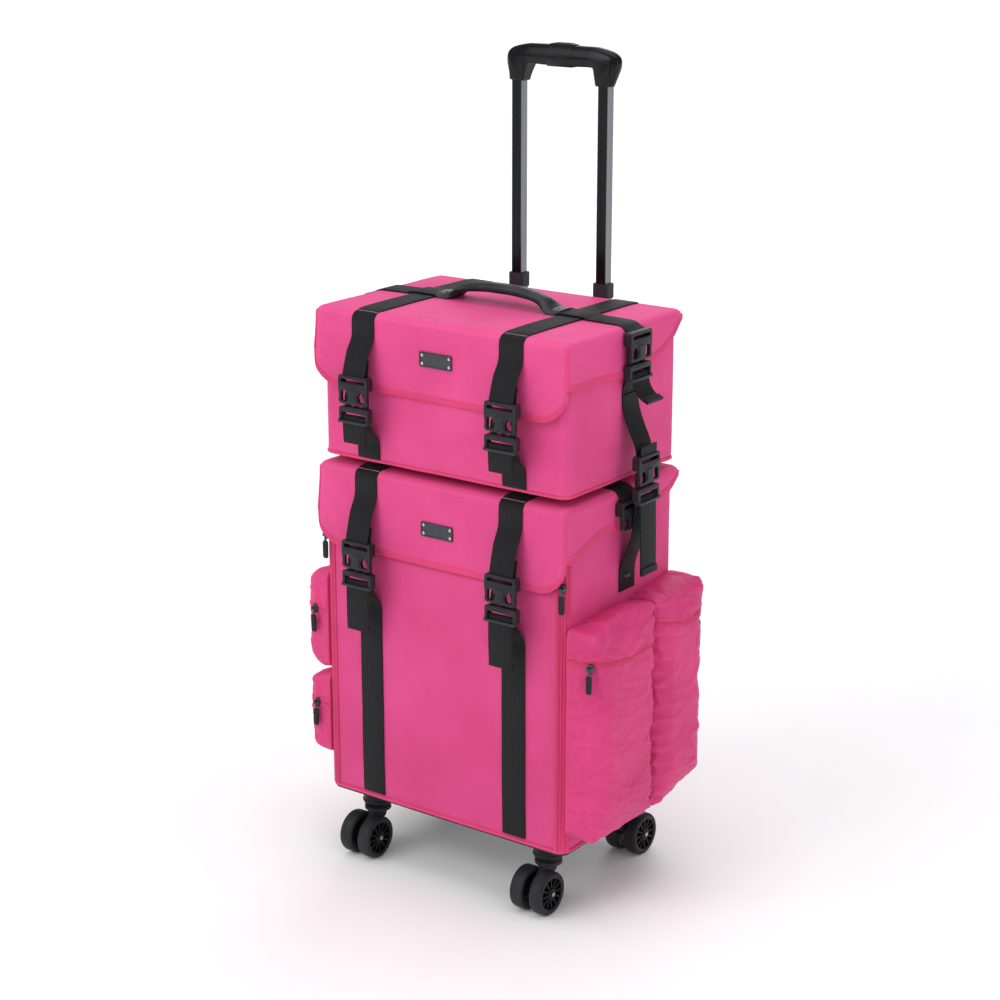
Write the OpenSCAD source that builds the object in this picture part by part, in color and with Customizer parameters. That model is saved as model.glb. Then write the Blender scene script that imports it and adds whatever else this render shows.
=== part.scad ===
// Makeup train case: a soft-sided trunk on four twin-wheel casters, a vanity case strapped
// on top of it, and a telescopic handle behind both.
// Millimetres. The origin is on the floor under the middle of the trunk, +X to the right
// as seen from the front, front towards -Y, +Z up. The handle is drawn fully extended.

/* [Cases] */
// Width of both case bodies
case_w = 404; // [396:1:408]
// Depth of both case bodies
case_d = 260; // [256:1:264]
// Height of the trunk's bottom edge above the floor
trunk_z = 100; // [100:1:104]
// Height of the trunk, from its bottom edge to the top of its lid
trunk_h = 483; // [478:1:488]
// Gap between the trunk's lid and the vanity case
stack_gap = 12; // [11:1:16]
// Height of the vanity case
vanity_h = 205; // [200:1:212]
// Thickness of the padded case walls
wall = 5; // [4:0.5:6]
// Radius of the upright case corners
corner_r = 14; // [10:1:16]

/* [Lids] */
// How far the trunk lid's front flap hangs down
trunk_flap = 116; // [112:1:118]
// How far the vanity lid's front flap hangs down
vanity_flap = 105; // [101:1:107]
// Radius of the flaps' lower front corners
flap_r = 45; // [40:1:48]
// Gap between a flap and the case body
flap_gap = 2; // [1.5:0.5:2.5]

/* [Straps and buckles] */
// Width of the webbing
strap_w = 38; // [36:1:38]
// Distance of the two front straps from the middle
strap_x = 121; // [118:1:124]
// Where the strap across the vanity lid lies, front to back
cross_y = 10; // [6:1:12]
// Height of a closed buckle
buckle_h = 62; // [62:1:64]
// Width of a buckle
buckle_w = 50; // [50:1:52]

/* [Side pockets] */
// How far the right pockets stand out
right_pocket = 52; // [48:1:54]
// How far the left pockets stand out
left_pocket = 38; // [34:1:40]

/* [Telescopic handle] */
// Height of the grip's top with the handle extended
grip_top = 1135; // [1130:1:1140]
// Distance of each tube from the middle
tube_x = 71; // [68:1:74]
// Travel of the upper stage
upper_travel = 265; // [255:1:265]
// Travel of the lower stage
lower_travel = 225; // [215:1:225]

/* [Casters] */
// Diameter of the wheels
wheel_d = 61; // [58:0.5:61]
// Width of one wheel
wheel_w = 20; // [18:0.5:20]
// How far the axle trails the swivel
trail = 27; // [24:1:28]

/* [Hidden] */
$fn = 48;

// cases
half_w = case_w / 2;
half_d = case_d / 2;
trunk_top = trunk_z + trunk_h;
vanity_z = trunk_top + stack_gap;
vanity_top = vanity_z + vanity_h;
lid_t = 5;
flap_t = 4;
front_flap_gap = 4;
shell_gap = 1;
flap_x = half_w + flap_gap + flap_t;
flap_y = half_d + front_flap_gap + flap_t;
base_t = 3;
shell_lift = 0.2;
shelf_z = trunk_z + 236;
divider_y = 45;
divider_h = 160;
board_t = 4;
board_gap = 0.3;

// trunk door
door_half_w = half_w - 15;
door_z = trunk_z + 4;
door_drop = 4;
door_slit = 1;
hinge_slit = 0.3;

// straps: t is the webbing's thickness, lift the clearance under its middle line
t = 2;
lift = t / 2 + 0.2;
loop_r = 3.5;
buckle_t = 12;
buckle_off = 20;
front_buckle_y = flap_y + buckle_off;
top_buckle_z = vanity_top - 113;
door_buckle_z = trunk_top - 127;
side_a_z = vanity_top - 37;
side_a_x = half_w + 14;
side_b_z = vanity_z + 5;
side_b_x = half_w + 30;
loose_z = trunk_top - 45;
loose_x = half_w + 13;
loose_y = -2;
socket_bar = buckle_h / 2 - 3;
plug_bar = -buckle_h / 2 + 5;
rail_w = 4.5;
bar_r = 2;

// side anchors of the strap chain
vanity_anchor_z = vanity_top - 99;
trunk_anchor_z = trunk_top - 143;

// carry handle
arch_h = 22.5;
grip_half = 100;
carry_t = 9;

// name plates
plate_w = 53;
plate_h = 20;
plate_t = 1.5;
rivet_r = 1.5;

// pockets
pocket_top = trunk_z + 338;
pocket_gap = 0.5;
front_pocket_w = 141;
rear_pocket_w = 116;
pockets_meet_y = 11.5;
left_pocket_w = 240;
left_pocket_mid_y = -10;

// zip pulls
pull_l = 34;
pull_w = 9;
ear_h = 5.5;
pin_r = 1;

// telescopic handle: tube sections are [width, depth]
tube_y = half_d + 16;
tube_wall = 1.2;
slip = 0.3;
inner_tube = [17, 16];
middle_tube = inner_tube + 2 * [slip + tube_wall, slip + tube_wall];
outer_tube = middle_tube + 2 * [slip + tube_wall, slip + tube_wall];
collar_size = middle_tube + [4, 2];
grip_y = tube_y + 4;
grip_d = 28;
grip_half_w = 92;
leg_bottom = grip_top - 51;
collar_top = leg_bottom - upper_travel - 2;
collar_h = 20;
outer_top = collar_top - collar_h - lower_travel - 1;
outer_bottom = trunk_z + 11;
middle_bottom = outer_top - 91;
inner_bottom = collar_top - 57;
cover_top = outer_top - 11;
cover_w = 2 * tube_x + 54;
cover_d = 31;
clamp_h = 8;
button_w = 30;
button_d = 14;
button_h = 8;
button_proud = 2;
button_travel = 4;

// casters
caster_x = half_w - 52;
caster_y = half_d - 40;
wheel_r = wheel_d / 2;
wheel_gap = 12;
axle_r = 3;
stem_r = 5;
running = 0.05;
head_z = wheel_d + 1;
head_t = 5;
head_r = 19;
socket_r = 21;
stem_h = 22;
socket_z = head_z + head_t + 0.5;

pink = "#dc4a86";
webbing = "#1c1c1f";
plastic = "#33343a";
metal = "#a9adb3";
gloss = "#17181c";
lining = "#2a2a2e";

// ---- shared shapes ----

// a flat shape in (y, z), drawn out across x
module across_x(w, x = 0) {
    translate([x - w / 2, 0, 0]) rotate([90, 0, 90]) linear_extrude(w) children();
}

// a flat shape in (x, z), drawn out across y
module across_y(w, y = 0) {
    translate([0, y + w / 2, 0]) rotate([90, 0, 0]) linear_extrude(w) children();
}

module both_sides() {
    for (side = [0, 1]) mirror([side, 0, 0]) children();
}

// a rectangle centred on the origin with true round corners
module round_rect(size, r) {
    square([size[0] - 2 * r, size[1]], center = true);
    square([size[0], size[1] - 2 * r], center = true);
    for (x = [-1, 1], y = [-1, 1]) {
        translate([x * (size[0] / 2 - r), y * (size[1] / 2 - r)]) circle(r);
    }
}

module tube(size, h, r, thickness) {
    linear_extrude(h) difference() {
        round_rect(size, r);
        round_rect(size - 2 * [thickness, thickness], r - thickness);
    }
}

// the unit normal to the left of the segment from p to q
function left_of(p, q) = [p[1] - q[1], q[0] - p[0]] / norm(q - p);

// point i of a path, moved d to the left, mitred between its two segments
function moved(path, i, d) =
    i == 0 ? path[0] + d * left_of(path[0], path[1])
    : i == len(path) - 1 ? path[i] + d * left_of(path[i - 1], path[i])
    : let (a = left_of(path[i - 1], path[i]), b = left_of(path[i], path[i + 1]))
        path[i] + d * (a + b) / (1 + a * b);

// a strip of even thickness along a path
module ribbon(path, thickness = t) {
    n = len(path);
    near = [for (i = [0:n - 1]) moved(path, i, thickness / 2)];
    far = [for (i = [n - 1:-1:0]) moved(path, i, -thickness / 2)];
    polygon(concat(near, far));
}

function mirrored(path) = [for (i = [len(path) - 1:-1:0]) [-path[i][0], path[i][1]]];

// ---- cases ----

module case_shell(bottom, top) {
    difference() {
        translate([0, 0, bottom]) linear_extrude(top - bottom)
            round_rect([case_w, case_d], corner_r);
        translate([0, 0, bottom + wall]) linear_extrude(top - bottom)
            round_rect([case_w - 2 * wall, case_d - 2 * wall], corner_r - wall);
    }
}

// the front flap's outline in (x, z)
module front_flap_shape(top, drop) {
    low = top - drop;
    translate([-flap_x, low + flap_r]) square([2 * flap_x, drop - flap_r]);
    translate([-flap_x + flap_r, low]) square([2 * (flap_x - flap_r), drop]);
    for (side = [-1, 1]) {
        translate([side * (flap_x - flap_r), low + flap_r]) circle(flap_r);
    }
}

// the side flap's outline in (y, z): deep in front and rising to the lid's rear corner
module side_flap_shape(top, front_drop, middle_drop) {
    polygon([
        [-flap_y, top], [-flap_y, top - front_drop], [-20, top - middle_drop],
        [30, top - middle_drop + 2], [85, top - middle_drop + 18],
        [half_d - 12, top - 26], [half_d - 1, top - lid_t - 2], [half_d, top]
    ]);
}

module lid_shell(top, drop, middle_drop) {
    union() {
        translate([-flap_x, -flap_y, top - lid_t]) cube([2 * flap_x, flap_y + half_d, lid_t]);
        across_y(flap_t, -flap_y + flap_t / 2) front_flap_shape(top, drop);
        both_sides() across_x(flap_t, flap_x - flap_t / 2)
            side_flap_shape(top, drop - flap_r, middle_drop);
    }
}

// everything in the trunk's front face that lies below the lid's flap, in (x, z)
module door_shape(half_width, bottom, gap) {
    difference() {
        translate([-half_width, bottom]) square([2 * half_width, trunk_top - flap_r - bottom]);
        translate([0, -gap]) front_flap_shape(trunk_top, trunk_flap);
    }
}

module trunk_shell() {
    color(pink) difference() {
        case_shell(trunk_z + shell_lift, trunk_top - lid_t - shell_gap);
        across_y(4 * wall, -half_d)
            door_shape(door_half_w + door_slit, door_z - hinge_slit, door_drop - door_slit);
    }
}

module door_panel() {
    color(pink) across_y(wall, -half_d + wall / 2) door_shape(door_half_w, door_z, door_drop);
}

module base_plate() {
    color(plastic) translate([0, 0, trunk_z - base_t]) linear_extrude(base_t)
        round_rect([case_w - 2, case_d - 2], corner_r - 1);
}

module trunk_shelf() {
    inset = 2 * (wall + board_gap);
    color(lining) translate([0, 0, shelf_z]) linear_extrude(board_t)
        round_rect([case_w - inset, case_d - inset], corner_r - wall);
}

module vanity_shell() {
    color(pink) case_shell(vanity_z, vanity_top - lid_t - shell_gap);
}

module vanity_divider() {
    inset = wall + board_gap;
    color(lining) translate([-half_w + inset, divider_y, vanity_z + inset])
        cube([case_w - 2 * inset, board_t, divider_h]);
}

module trunk_lid() {
    color(pink) lid_shell(trunk_top, trunk_flap, 53);
}

module vanity_lid() {
    color(pink) lid_shell(vanity_top, vanity_flap, 66);
}

// ---- buckles, drawn in (across, up, outward) round the closed buckle's middle ----

module bar(v) {
    translate([-buckle_w / 2 + 1, v, 0]) rotate([0, 90, 0]) cylinder(r = bar_r, h = buckle_w - 2);
}

// the female half: webbing bar, cross bar, side rails and the shield between the windows
module socket() {
    top = buckle_h / 2;
    color(plastic) union() {
        for (side = [0, 1]) mirror([side, 0, 0]) {
            translate([buckle_w / 2 - rail_w, -8, 0.5]) cube([rail_w, 20, buckle_t / 2 - 0.5]);
            translate([buckle_w / 2 - rail_w, 10, -buckle_t / 2])
                cube([rail_w, top - 10, buckle_t]);
        }
        bar(socket_bar);
        translate([-buckle_w / 2 + 1, 12, -buckle_t / 2 + 1])
            cube([buckle_w - 2, 6, buckle_t - 2]);
        translate([0, 0, 0.5]) linear_extrude(buckle_t / 2 - 0.5)
            polygon([[-9, -8], [9, -8], [6, 2], [9, 13], [-9, 13], [-6, 2]]);
    }
}

// the male half: two prongs behind the windows, cross bar and webbing bar
module plug() {
    half_t = buckle_t / 2 - 0.5;
    color(plastic) union() {
        translate([-buckle_w / 2, -20, -half_t]) cube([buckle_w, 6, 2 * half_t]);
        for (side = [0, 1]) mirror([side, 0, 0]) {
            translate([10.5, -15, -half_t]) cube([8, 23, 5]);
            translate([buckle_w / 2 - rail_w, -buckle_h / 2, -half_t])
                cube([rail_w, buckle_h / 2 - 19, 2 * half_t]);
        }
        bar(plug_bar);
    }
}

module on_front(z) {
    for (side = [-1, 1]) {
        translate([side * strap_x, -front_buckle_y, z]) rotate([90, 0, 0]) children();
    }
}

module on_sides(x, y, z) {
    both_sides() translate([x, y, z]) rotate([90, 0, 90]) children();
}

module door_plugs() {
    on_front(door_buckle_z) plug();
}

module trunk_lid_sockets() {
    on_front(door_buckle_z) socket();
    on_sides(loose_x, loose_y, loose_z) socket();
}

module trunk_side_plugs() {
    on_sides(side_b_x, cross_y, side_b_z) plug();
}

module vanity_plugs() {
    on_front(top_buckle_z) plug();
    on_sides(side_a_x, cross_y, side_a_z) plug();
}

module vanity_side_sockets() {
    on_sides(side_b_x, cross_y, side_b_z) socket();
}

module vanity_lid_sockets() {
    on_front(top_buckle_z) socket();
    on_sides(side_a_x, cross_y, side_a_z) socket();
}

// ---- straps ----

module front_pair(path) {
    color(webbing) for (side = [-1, 1]) {
        across_x(strap_w, side * strap_x) ribbon(path);
    }
}

module side_pair(path, y) {
    color(webbing) both_sides() across_y(strap_w, y) ribbon(path);
}

// from the lid's rear edge over the top, down the flap and round the socket's bar
function lid_strap_path(top, buckle_z) = let (bar_z = buckle_z + socket_bar) [
    [half_d - 2, top + lift], [-flap_y - lift, top + lift], [-flap_y - 3, top - 22],
    [-front_buckle_y - loop_r, bar_z + 2], [-front_buckle_y - loop_r, bar_z - 1],
    [-front_buckle_y - 1, bar_z - loop_r], [-front_buckle_y + 1, bar_z - loop_r],
    [-front_buckle_y + loop_r, bar_z - 1], [-front_buckle_y + loop_r + 1, bar_z + 11]
];

// up the case front, out and round the plug's bar, and down again as a loose tail
function front_strap_path(bottom, leave, buckle_z, tail) = let (bar_z = buckle_z + plug_bar) [
    [-half_d - lift, bottom], [-half_d - lift, leave], [-front_buckle_y + loop_r, bar_z - 3],
    [-front_buckle_y + loop_r, bar_z + 1], [-front_buckle_y + 1, bar_z + loop_r],
    [-front_buckle_y - 1, bar_z + loop_r], [-front_buckle_y - loop_r, bar_z + 1],
    [-front_buckle_y - loop_r - 1, bar_z - tail]
];

module vanity_lid_straps() {
    front_pair(lid_strap_path(vanity_top, top_buckle_z));
}

module trunk_lid_straps() {
    front_pair(lid_strap_path(trunk_top, door_buckle_z));
}

module vanity_front_straps() {
    front_pair(front_strap_path(vanity_z + 2, vanity_z + 20, top_buckle_z, 34));
}

module door_straps() {
    front_pair(front_strap_path(trunk_z + 12, door_buckle_z - 75, door_buckle_z, 68));
}

// the arch of the carry handle, from the middle to the flat lid, in (x, z)
arch_path = [
    [0, vanity_top + arch_h], [25, vanity_top + arch_h], [60, vanity_top + 18],
    [86, vanity_top + 7.5], [grip_half, vanity_top + 5.2]
];

// round a socket's bar from outside, ending against the strap's own back
function socket_loop(x, bar_z) = [
    [x + loop_r, bar_z + 1], [x + loop_r, bar_z - 1], [x + 1, bar_z - loop_r],
    [x - 1, bar_z - loop_r], [x - loop_r, bar_z - 1]
];

module vanity_cross_strap() {
    edge = [
        [strap_x, vanity_top + lift + t + 0.2], [strap_x + 21, vanity_top + lift + t + 0.2],
        [strap_x + 30, vanity_top + lift], [flap_x + 4, vanity_top + lift]
    ];
    end = concat(
        socket_loop(side_a_x, side_a_z + socket_bar), [[side_a_x - loop_r, side_a_z + socket_bar + 4]]
    );
    right = concat(arch_path, edge, end);
    color(webbing) across_y(strap_w, cross_y)
        ribbon(concat(mirrored([for (i = [1:len(right) - 1]) right[i]]), right));
}

module trunk_cross_strap() {
    right = concat([
        [strap_x + 21, trunk_top + lift + t + 0.2], [strap_x + 30, trunk_top + lift],
        [flap_x + 2, trunk_top + lift], [loose_x + loop_r, trunk_top - 9]
    ], socket_loop(loose_x, loose_z + socket_bar), [[loose_x - loop_r, loose_z + socket_bar + 8]]);
    color(webbing) across_y(strap_w, loose_y) ribbon(concat(mirrored(right), right));
}

module vanity_side_straps() {
    up_bar = side_a_z + plug_bar;
    down_bar = side_b_z + socket_bar;
    up = [
        [half_w + lift, vanity_anchor_z - 14], [half_w + lift, vanity_anchor_z + 12],
        [side_a_x - loop_r, up_bar - 4], [side_a_x - loop_r, up_bar + 1],
        [side_a_x - 1, up_bar + loop_r], [side_a_x + 1, up_bar + loop_r],
        [side_a_x + loop_r, up_bar + 1], [side_a_x + 6, up_bar - 14],
        [side_a_x + 14, up_bar - 28], [side_a_x + 28, up_bar - 34]
    ];
    down = [
        [half_w + lift + t - 0.1, vanity_anchor_z + 8], [half_w + lift + t, vanity_anchor_z - 8],
        [half_w + 10, vanity_anchor_z - 30], [side_b_x - loop_r, down_bar + 13],
        [side_b_x - loop_r, down_bar - 1], [side_b_x - 1, down_bar - loop_r],
        [side_b_x + 1, down_bar - loop_r], [side_b_x + loop_r, down_bar - 1],
        [side_b_x + loop_r, down_bar + 12]
    ];
    side_pair(up, cross_y);
    side_pair(down, cross_y);
}

module trunk_side_straps() {
    bar_z = side_b_z + plug_bar;
    side_pair([
        [half_w + lift, trunk_anchor_z - 1], [half_w + lift, trunk_anchor_z + 30],
        [half_w + 5, trunk_anchor_z + 42], [half_w + 21, trunk_anchor_z + 78],
        [side_b_x - 6, trunk_anchor_z + 105], [side_b_x - loop_r, bar_z - 2],
        [side_b_x - loop_r, bar_z + 1], [side_b_x - 1, bar_z + loop_r],
        [side_b_x + 1, bar_z + loop_r], [side_b_x + loop_r, bar_z + 1],
        [side_b_x + 5, trunk_anchor_z + 80], [side_b_x + 6, trunk_anchor_z + 28]
    ], cross_y);
}

module strap_rivets() {
    color(metal) on_sides(half_w + lift + t / 2, cross_y, trunk_anchor_z + 18)
        cylinder(r = 5, h = 1.5);
}

// ---- name plates and carry handle ----

module plate_corners() {
    for (x = [-1, 1], z = [-1, 1]) {
        translate([x * (plate_w / 2 - 4), z * (plate_h / 2 - 4), 0]) children();
    }
}

module name_plate(z) {
    translate([0, -flap_y, z]) rotate([90, 0, 0]) difference() {
        linear_extrude(plate_t) round_rect([plate_w, plate_h], 2);
        plate_corners() translate([0, 0, -1]) cylinder(r = rivet_r + 0.1, h = plate_t + 2);
    }
}

module plate_rivets(z) {
    color(metal) translate([0, -flap_y, z]) rotate([90, 0, 0]) plate_corners() {
        cylinder(r = rivet_r, h = plate_t + 0.5);
        translate([0, 0, plate_t + 0.05]) cylinder(r = 2.4, h = 0.9);
    }
}

trunk_plate_z = trunk_top - 64;
vanity_plate_z = vanity_top - 49;

module trunk_name_plate() {
    color(plastic) name_plate(trunk_plate_z);
}

module trunk_plate_rivets() {
    plate_rivets(trunk_plate_z);
}

module vanity_name_plate() {
    color(plastic) name_plate(vanity_plate_z);
}

module vanity_plate_rivets() {
    plate_rivets(vanity_plate_z);
}

module carry_handle() {
    half = [for (i = [1:len(arch_path) - 1]) arch_path[i]];
    path = concat(mirrored(half), half);
    longer = concat(
        [[-grip_half - 9, vanity_top + 4]], path, [[grip_half + 9, vanity_top + 4]]
    );
    color(plastic) difference() {
        across_y(strap_w + 6, cross_y) ribbon(path, carry_t);
        across_y(strap_w + 1, cross_y) ribbon(longer, t + 0.8);
    }
}

// ---- side pockets ----

module right_pocket_shape() {
    polygon([
        [half_w + pocket_gap, trunk_z + 10], [half_w + right_pocket - 3, trunk_z + 42],
        [half_w + right_pocket, trunk_z + 200], [half_w + right_pocket, pocket_top - 8],
        [half_w + right_pocket - 8, pocket_top], [half_w + pocket_gap, pocket_top]
    ]);
}

module right_front_pocket() {
    color(pink) across_y(front_pocket_w, pockets_meet_y - 0.5 - front_pocket_w / 2)
        right_pocket_shape();
}

module right_rear_pocket() {
    color(pink) across_y(rear_pocket_w, pockets_meet_y + 0.5 + rear_pocket_w / 2)
        right_pocket_shape();
}

module left_pocket_shape(bottom, top) {
    x = -half_w - left_pocket;
    polygon([
        [-half_w - pocket_gap, bottom], [x + 6, bottom + 10], [x, bottom + 24],
        [x, top - 22], [x + 12, top - 4], [-half_w - pocket_gap, top]
    ]);
}

module left_upper_pocket() {
    color(pink) across_y(left_pocket_w, left_pocket_mid_y)
        left_pocket_shape(trunk_z + 176, trunk_z + 320);
}

module left_lower_pocket() {
    color(pink) across_y(left_pocket_w, left_pocket_mid_y)
        left_pocket_shape(trunk_z + 46, trunk_z + 168);
}

// ---- zips: sliders fixed to the cloth and pulls hinged on their pins ----

// drawn in (across, up, outward) with the pin's middle at height 0
module zip_slider() {
    color(gloss) union() {
        translate([-4.5, -6, 0.2]) cube([9, 13, 2.8]);
        for (side = [-1, 1]) {
            translate([side * 3.5 - 0.75, -2, 0.2]) cube([1.5, 4, ear_h + 1.5]);
        }
        translate([-4.2, 0, ear_h]) rotate([0, 90, 0]) cylinder(r = pin_r, h = 8.4);
    }
}

module zip_pull() {
    color(gloss) difference() {
        union() {
            translate([-2.4, 0, ear_h]) rotate([0, 90, 0]) cylinder(r = 2.3, h = 4.8);
            translate([-2.4, -9, ear_h - 1]) cube([4.8, 9, 2]);
            translate([-pull_w / 2, -pull_l, ear_h - 1.6]) cube([pull_w, pull_l - 8, 3.2]);
        }
        translate([-6, 0, ear_h]) rotate([0, 90, 0]) cylinder(r = pin_r + running, h = 12);
    }
}

right_pull_x = half_w + right_pocket - 11;
right_pull_z = trunk_z + 276;
right_front_pull_y = pockets_meet_y - 0.5 - front_pocket_w;
right_rear_pull_y = pockets_meet_y + 0.5 + rear_pocket_w;
left_upper_pull_z = trunk_z + 262;
left_lower_pull_z = trunk_z + 120;
left_pull_x = -half_w - left_pocket + 16;
left_pull_y = left_pocket_mid_y - left_pocket_w / 2;
door_pull_x = half_w - 3;
door_pull_z = trunk_top - 107;

module at_front(x, y, z) {
    translate([x, y, z]) rotate([90, 0, 0]) children();
}

module at_rear(x, y, z) {
    translate([x, y, z]) rotate([90, 0, 180]) children();
}

module zip_sliders() {
    at_front(right_pull_x, right_front_pull_y, right_pull_z) zip_slider();
    at_rear(right_pull_x, right_rear_pull_y, right_pull_z) zip_slider();
    at_front(left_pull_x, left_pull_y, left_upper_pull_z) zip_slider();
    at_front(left_pull_x, left_pull_y, left_lower_pull_z) zip_slider();
    at_front(door_pull_x, -half_d, door_pull_z) zip_slider();
    at_front(-door_pull_x, -half_d, door_pull_z) zip_slider();
}

module pull_right_front() {
    at_front(right_pull_x, right_front_pull_y, right_pull_z) zip_pull();
}

module pull_right_rear() {
    at_rear(right_pull_x, right_rear_pull_y, right_pull_z) zip_pull();
}

module pull_left_upper() {
    at_front(left_pull_x, left_pull_y, left_upper_pull_z) zip_pull();
}

module pull_left_lower() {
    at_front(left_pull_x, left_pull_y, left_lower_pull_z) zip_pull();
}

module pull_door_left() {
    at_front(-door_pull_x, -half_d, door_pull_z) zip_pull();
}

module pull_door_right() {
    at_front(door_pull_x, -half_d, door_pull_z) zip_pull();
}

// ---- telescopic handle ----

module at_tubes(z) {
    for (side = [-1, 1]) translate([side * tube_x, tube_y, z]) children();
}

module outer_tubes() {
    color(metal) at_tubes(outer_bottom) tube(outer_tube, outer_top - outer_bottom - 2, 3.5, tube_wall);
}

// cups under the outer tubes, and clamps near their tops that reach back to the trunk
module tube_brackets() {
    cup = outer_tube + [8, 8];
    reach = tube_y - half_d;
    color(plastic) {
        at_tubes(outer_bottom - clamp_h) translate([-cup[0] / 2, -reach + 0.3, 0])
            cube([cup[0], reach - 0.3 + cup[1] / 2, clamp_h - 0.2]);
        at_tubes(cover_top + 1) difference() {
            translate([-cup[0] / 2, -reach + 0.3, 0])
                cube([cup[0], reach - 0.3 + cup[1] / 2, clamp_h]);
            translate([0, 0, -1]) linear_extrude(clamp_h + 2)
                round_rect(outer_tube + [0.1, 0.1], 3.55);
        }
    }
}

module handle_cover() {
    color(pink) difference() {
        translate([-cover_w / 2, half_d + 0.5, outer_bottom + 1])
            cube([cover_w, cover_d, cover_top - outer_bottom - 1]);
        at_tubes(outer_bottom) translate([-outer_tube[0] / 2 - 1, -outer_tube[1] / 2 - 1, -5])
            cube([outer_tube[0] + 2, outer_tube[1] + 2, cover_top]);
    }
}

module middle_tubes() {
    color(gloss) at_tubes(middle_bottom)
        tube(middle_tube, collar_top - 5 - middle_bottom, 3, tube_wall);
}

module tube_collars() {
    color(plastic) at_tubes(collar_top - collar_h) difference() {
        linear_extrude(collar_h) round_rect(collar_size, 4);
        translate([0, 0, -1]) linear_extrude(collar_h - 4 + 0.05)
            round_rect(middle_tube + [0.1, 0.1], 3.05);
        translate([0, 0, -1]) linear_extrude(collar_h + 2)
            round_rect(inner_tube + 2 * [slip, slip], 2.5);
    }
}

module inner_tubes() {
    color(gloss) at_tubes(inner_bottom)
        tube(inner_tube, leg_bottom + 20 - inner_bottom, 2.5, tube_wall);
}

module handle_grip() {
    mid = grip_top - 28;
    half = [
        [tube_x - 12, leg_bottom], [tube_x - 16, mid - 1], [tube_x - 19, mid + 1], [0, mid]
    ];
    outer = [
        [0, grip_top], [56, grip_top - 0.5], [grip_half_w - 10, grip_top - 6],
        [grip_half_w, grip_top - 15], [grip_half_w, grip_top - 26], [tube_x + 12, leg_bottom]
    ];
    right = concat(outer, half);
    left = mirrored([for (i = [1:len(right) - 2]) right[i]]);
    color(gloss) difference() {
        across_y(grip_d, grip_y) polygon(concat(right, left));
        at_tubes(leg_bottom - 1) linear_extrude(21.2) round_rect(inner_tube + [0.1, 0.1], 2.55);
        translate([0, grip_y, grip_top + button_proud - button_h - button_travel])
            linear_extrude(button_h + button_travel) round_rect([button_w + 0.6, button_d + 0.6], 3);
    }
}

module release_button() {
    color(plastic) translate([0, grip_y, grip_top + button_proud - button_h])
        linear_extrude(button_h) round_rect([button_w, button_d], 2.7);
}

// ---- casters ----

// each caster is placed by the signs of its x and y
module at_caster(sx, sy) {
    translate([sx * caster_x, sy * caster_y, 0]) children();
}

module caster_sockets() {
    color(plastic) for (sx = [-1, 1], sy = [-1, 1]) at_caster(sx, sy) difference() {
        union() {
            translate([0, 0, socket_z]) cylinder(r1 = head_r, r2 = socket_r, h = 8);
            translate([0, 0, socket_z + 8]) cylinder(r = socket_r, h = trunk_z - base_t - socket_z - 8);
        }
        translate([0, 0, socket_z - 1]) cylinder(r = stem_r + running, h = stem_h + 1.5);
    }
}

module fork(sx, sy) {
    web = wheel_gap - 2;
    color(plastic) at_caster(sx, sy) mirror([0, sy < 0 ? 1 : 0, 0]) difference() {
        union() {
            translate([0, 0, head_z]) cylinder(r = head_r, h = head_t);
            translate([0, 0, head_z]) cylinder(r = stem_r, h = head_t + stem_h);
            across_x(web) polygon([
                [-17, head_z + 1], [-12, head_z - 14], [trail - 5, wheel_r - 8],
                [trail + 9, wheel_r], [trail + 8, wheel_r + 10], [17, head_z - 8],
                [17, head_z + 1]
            ]);
            across_x(web) translate([trail, wheel_r]) circle(11);
        }
        translate([-web, trail, wheel_r]) rotate([0, 90, 0])
            cylinder(r = axle_r + running, h = 2 * web);
    }
}

module wheel() {
    rim_r = wheel_r - 6;
    hub_r = 9;
    spokes = 12;
    difference() {
        union() {
            rotate_extrude() polygon([
                [rim_r, -wheel_w / 2], [wheel_r - 2, -wheel_w / 2], [wheel_r, -wheel_w / 2 + 3],
                [wheel_r, wheel_w / 2 - 3], [wheel_r - 2, wheel_w / 2], [rim_r, wheel_w / 2]
            ]);
            cylinder(r = hub_r, h = wheel_w, center = true);
            translate([0, 0, -wheel_w / 2 + 2]) cylinder(r = rim_r + 1, h = 3);
            for (i = [0:spokes - 1]) rotate([0, 0, i * 360 / spokes])
                translate([hub_r - 1, -1.2, -wheel_w / 2 + 3]) cube([rim_r - hub_r + 2, 2.4, wheel_w - 5]);
        }
        cylinder(r = axle_r + 0.01, h = 2 * wheel_w, center = true);
    }
}

module wheel_pair(sx, sy) {
    color(gloss) at_caster(sx, sy) for (side = [-1, 1])
        translate([side * (wheel_gap + wheel_w) / 2, sy * trail, wheel_r])
            rotate([0, side * 90, 0]) wheel();
}

module axle(sx, sy) {
    half = wheel_gap / 2 + wheel_w + 1.5;
    color(metal) at_caster(sx, sy) translate([0, sy * trail, wheel_r]) rotate([0, 90, 0])
        cylinder(r = axle_r, h = 2 * half, center = true);
}

trunk_shell();
base_plate();
caster_sockets();
outer_tubes();
tube_brackets();
handle_cover();
trunk_shelf();
right_front_pocket();
right_rear_pocket();
left_upper_pocket();
left_lower_pocket();
trunk_side_straps();
trunk_side_plugs();
strap_rivets();
zip_sliders();
door_panel();
door_straps();
door_plugs();
trunk_lid();
trunk_lid_straps();
trunk_cross_strap();
trunk_lid_sockets();
trunk_name_plate();
trunk_plate_rivets();
vanity_shell();
vanity_divider();
vanity_front_straps();
vanity_side_straps();
vanity_plugs();
vanity_side_sockets();
vanity_lid();
vanity_lid_straps();
vanity_cross_strap();
vanity_lid_sockets();
vanity_name_plate();
vanity_plate_rivets();
carry_handle();
middle_tubes();
tube_collars();
inner_tubes();
handle_grip();
release_button();
fork(-1, -1);  // fork_front_left
wheel_pair(-1, -1);  // wheels_front_left
axle(-1, -1);  // axle_front_left
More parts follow.
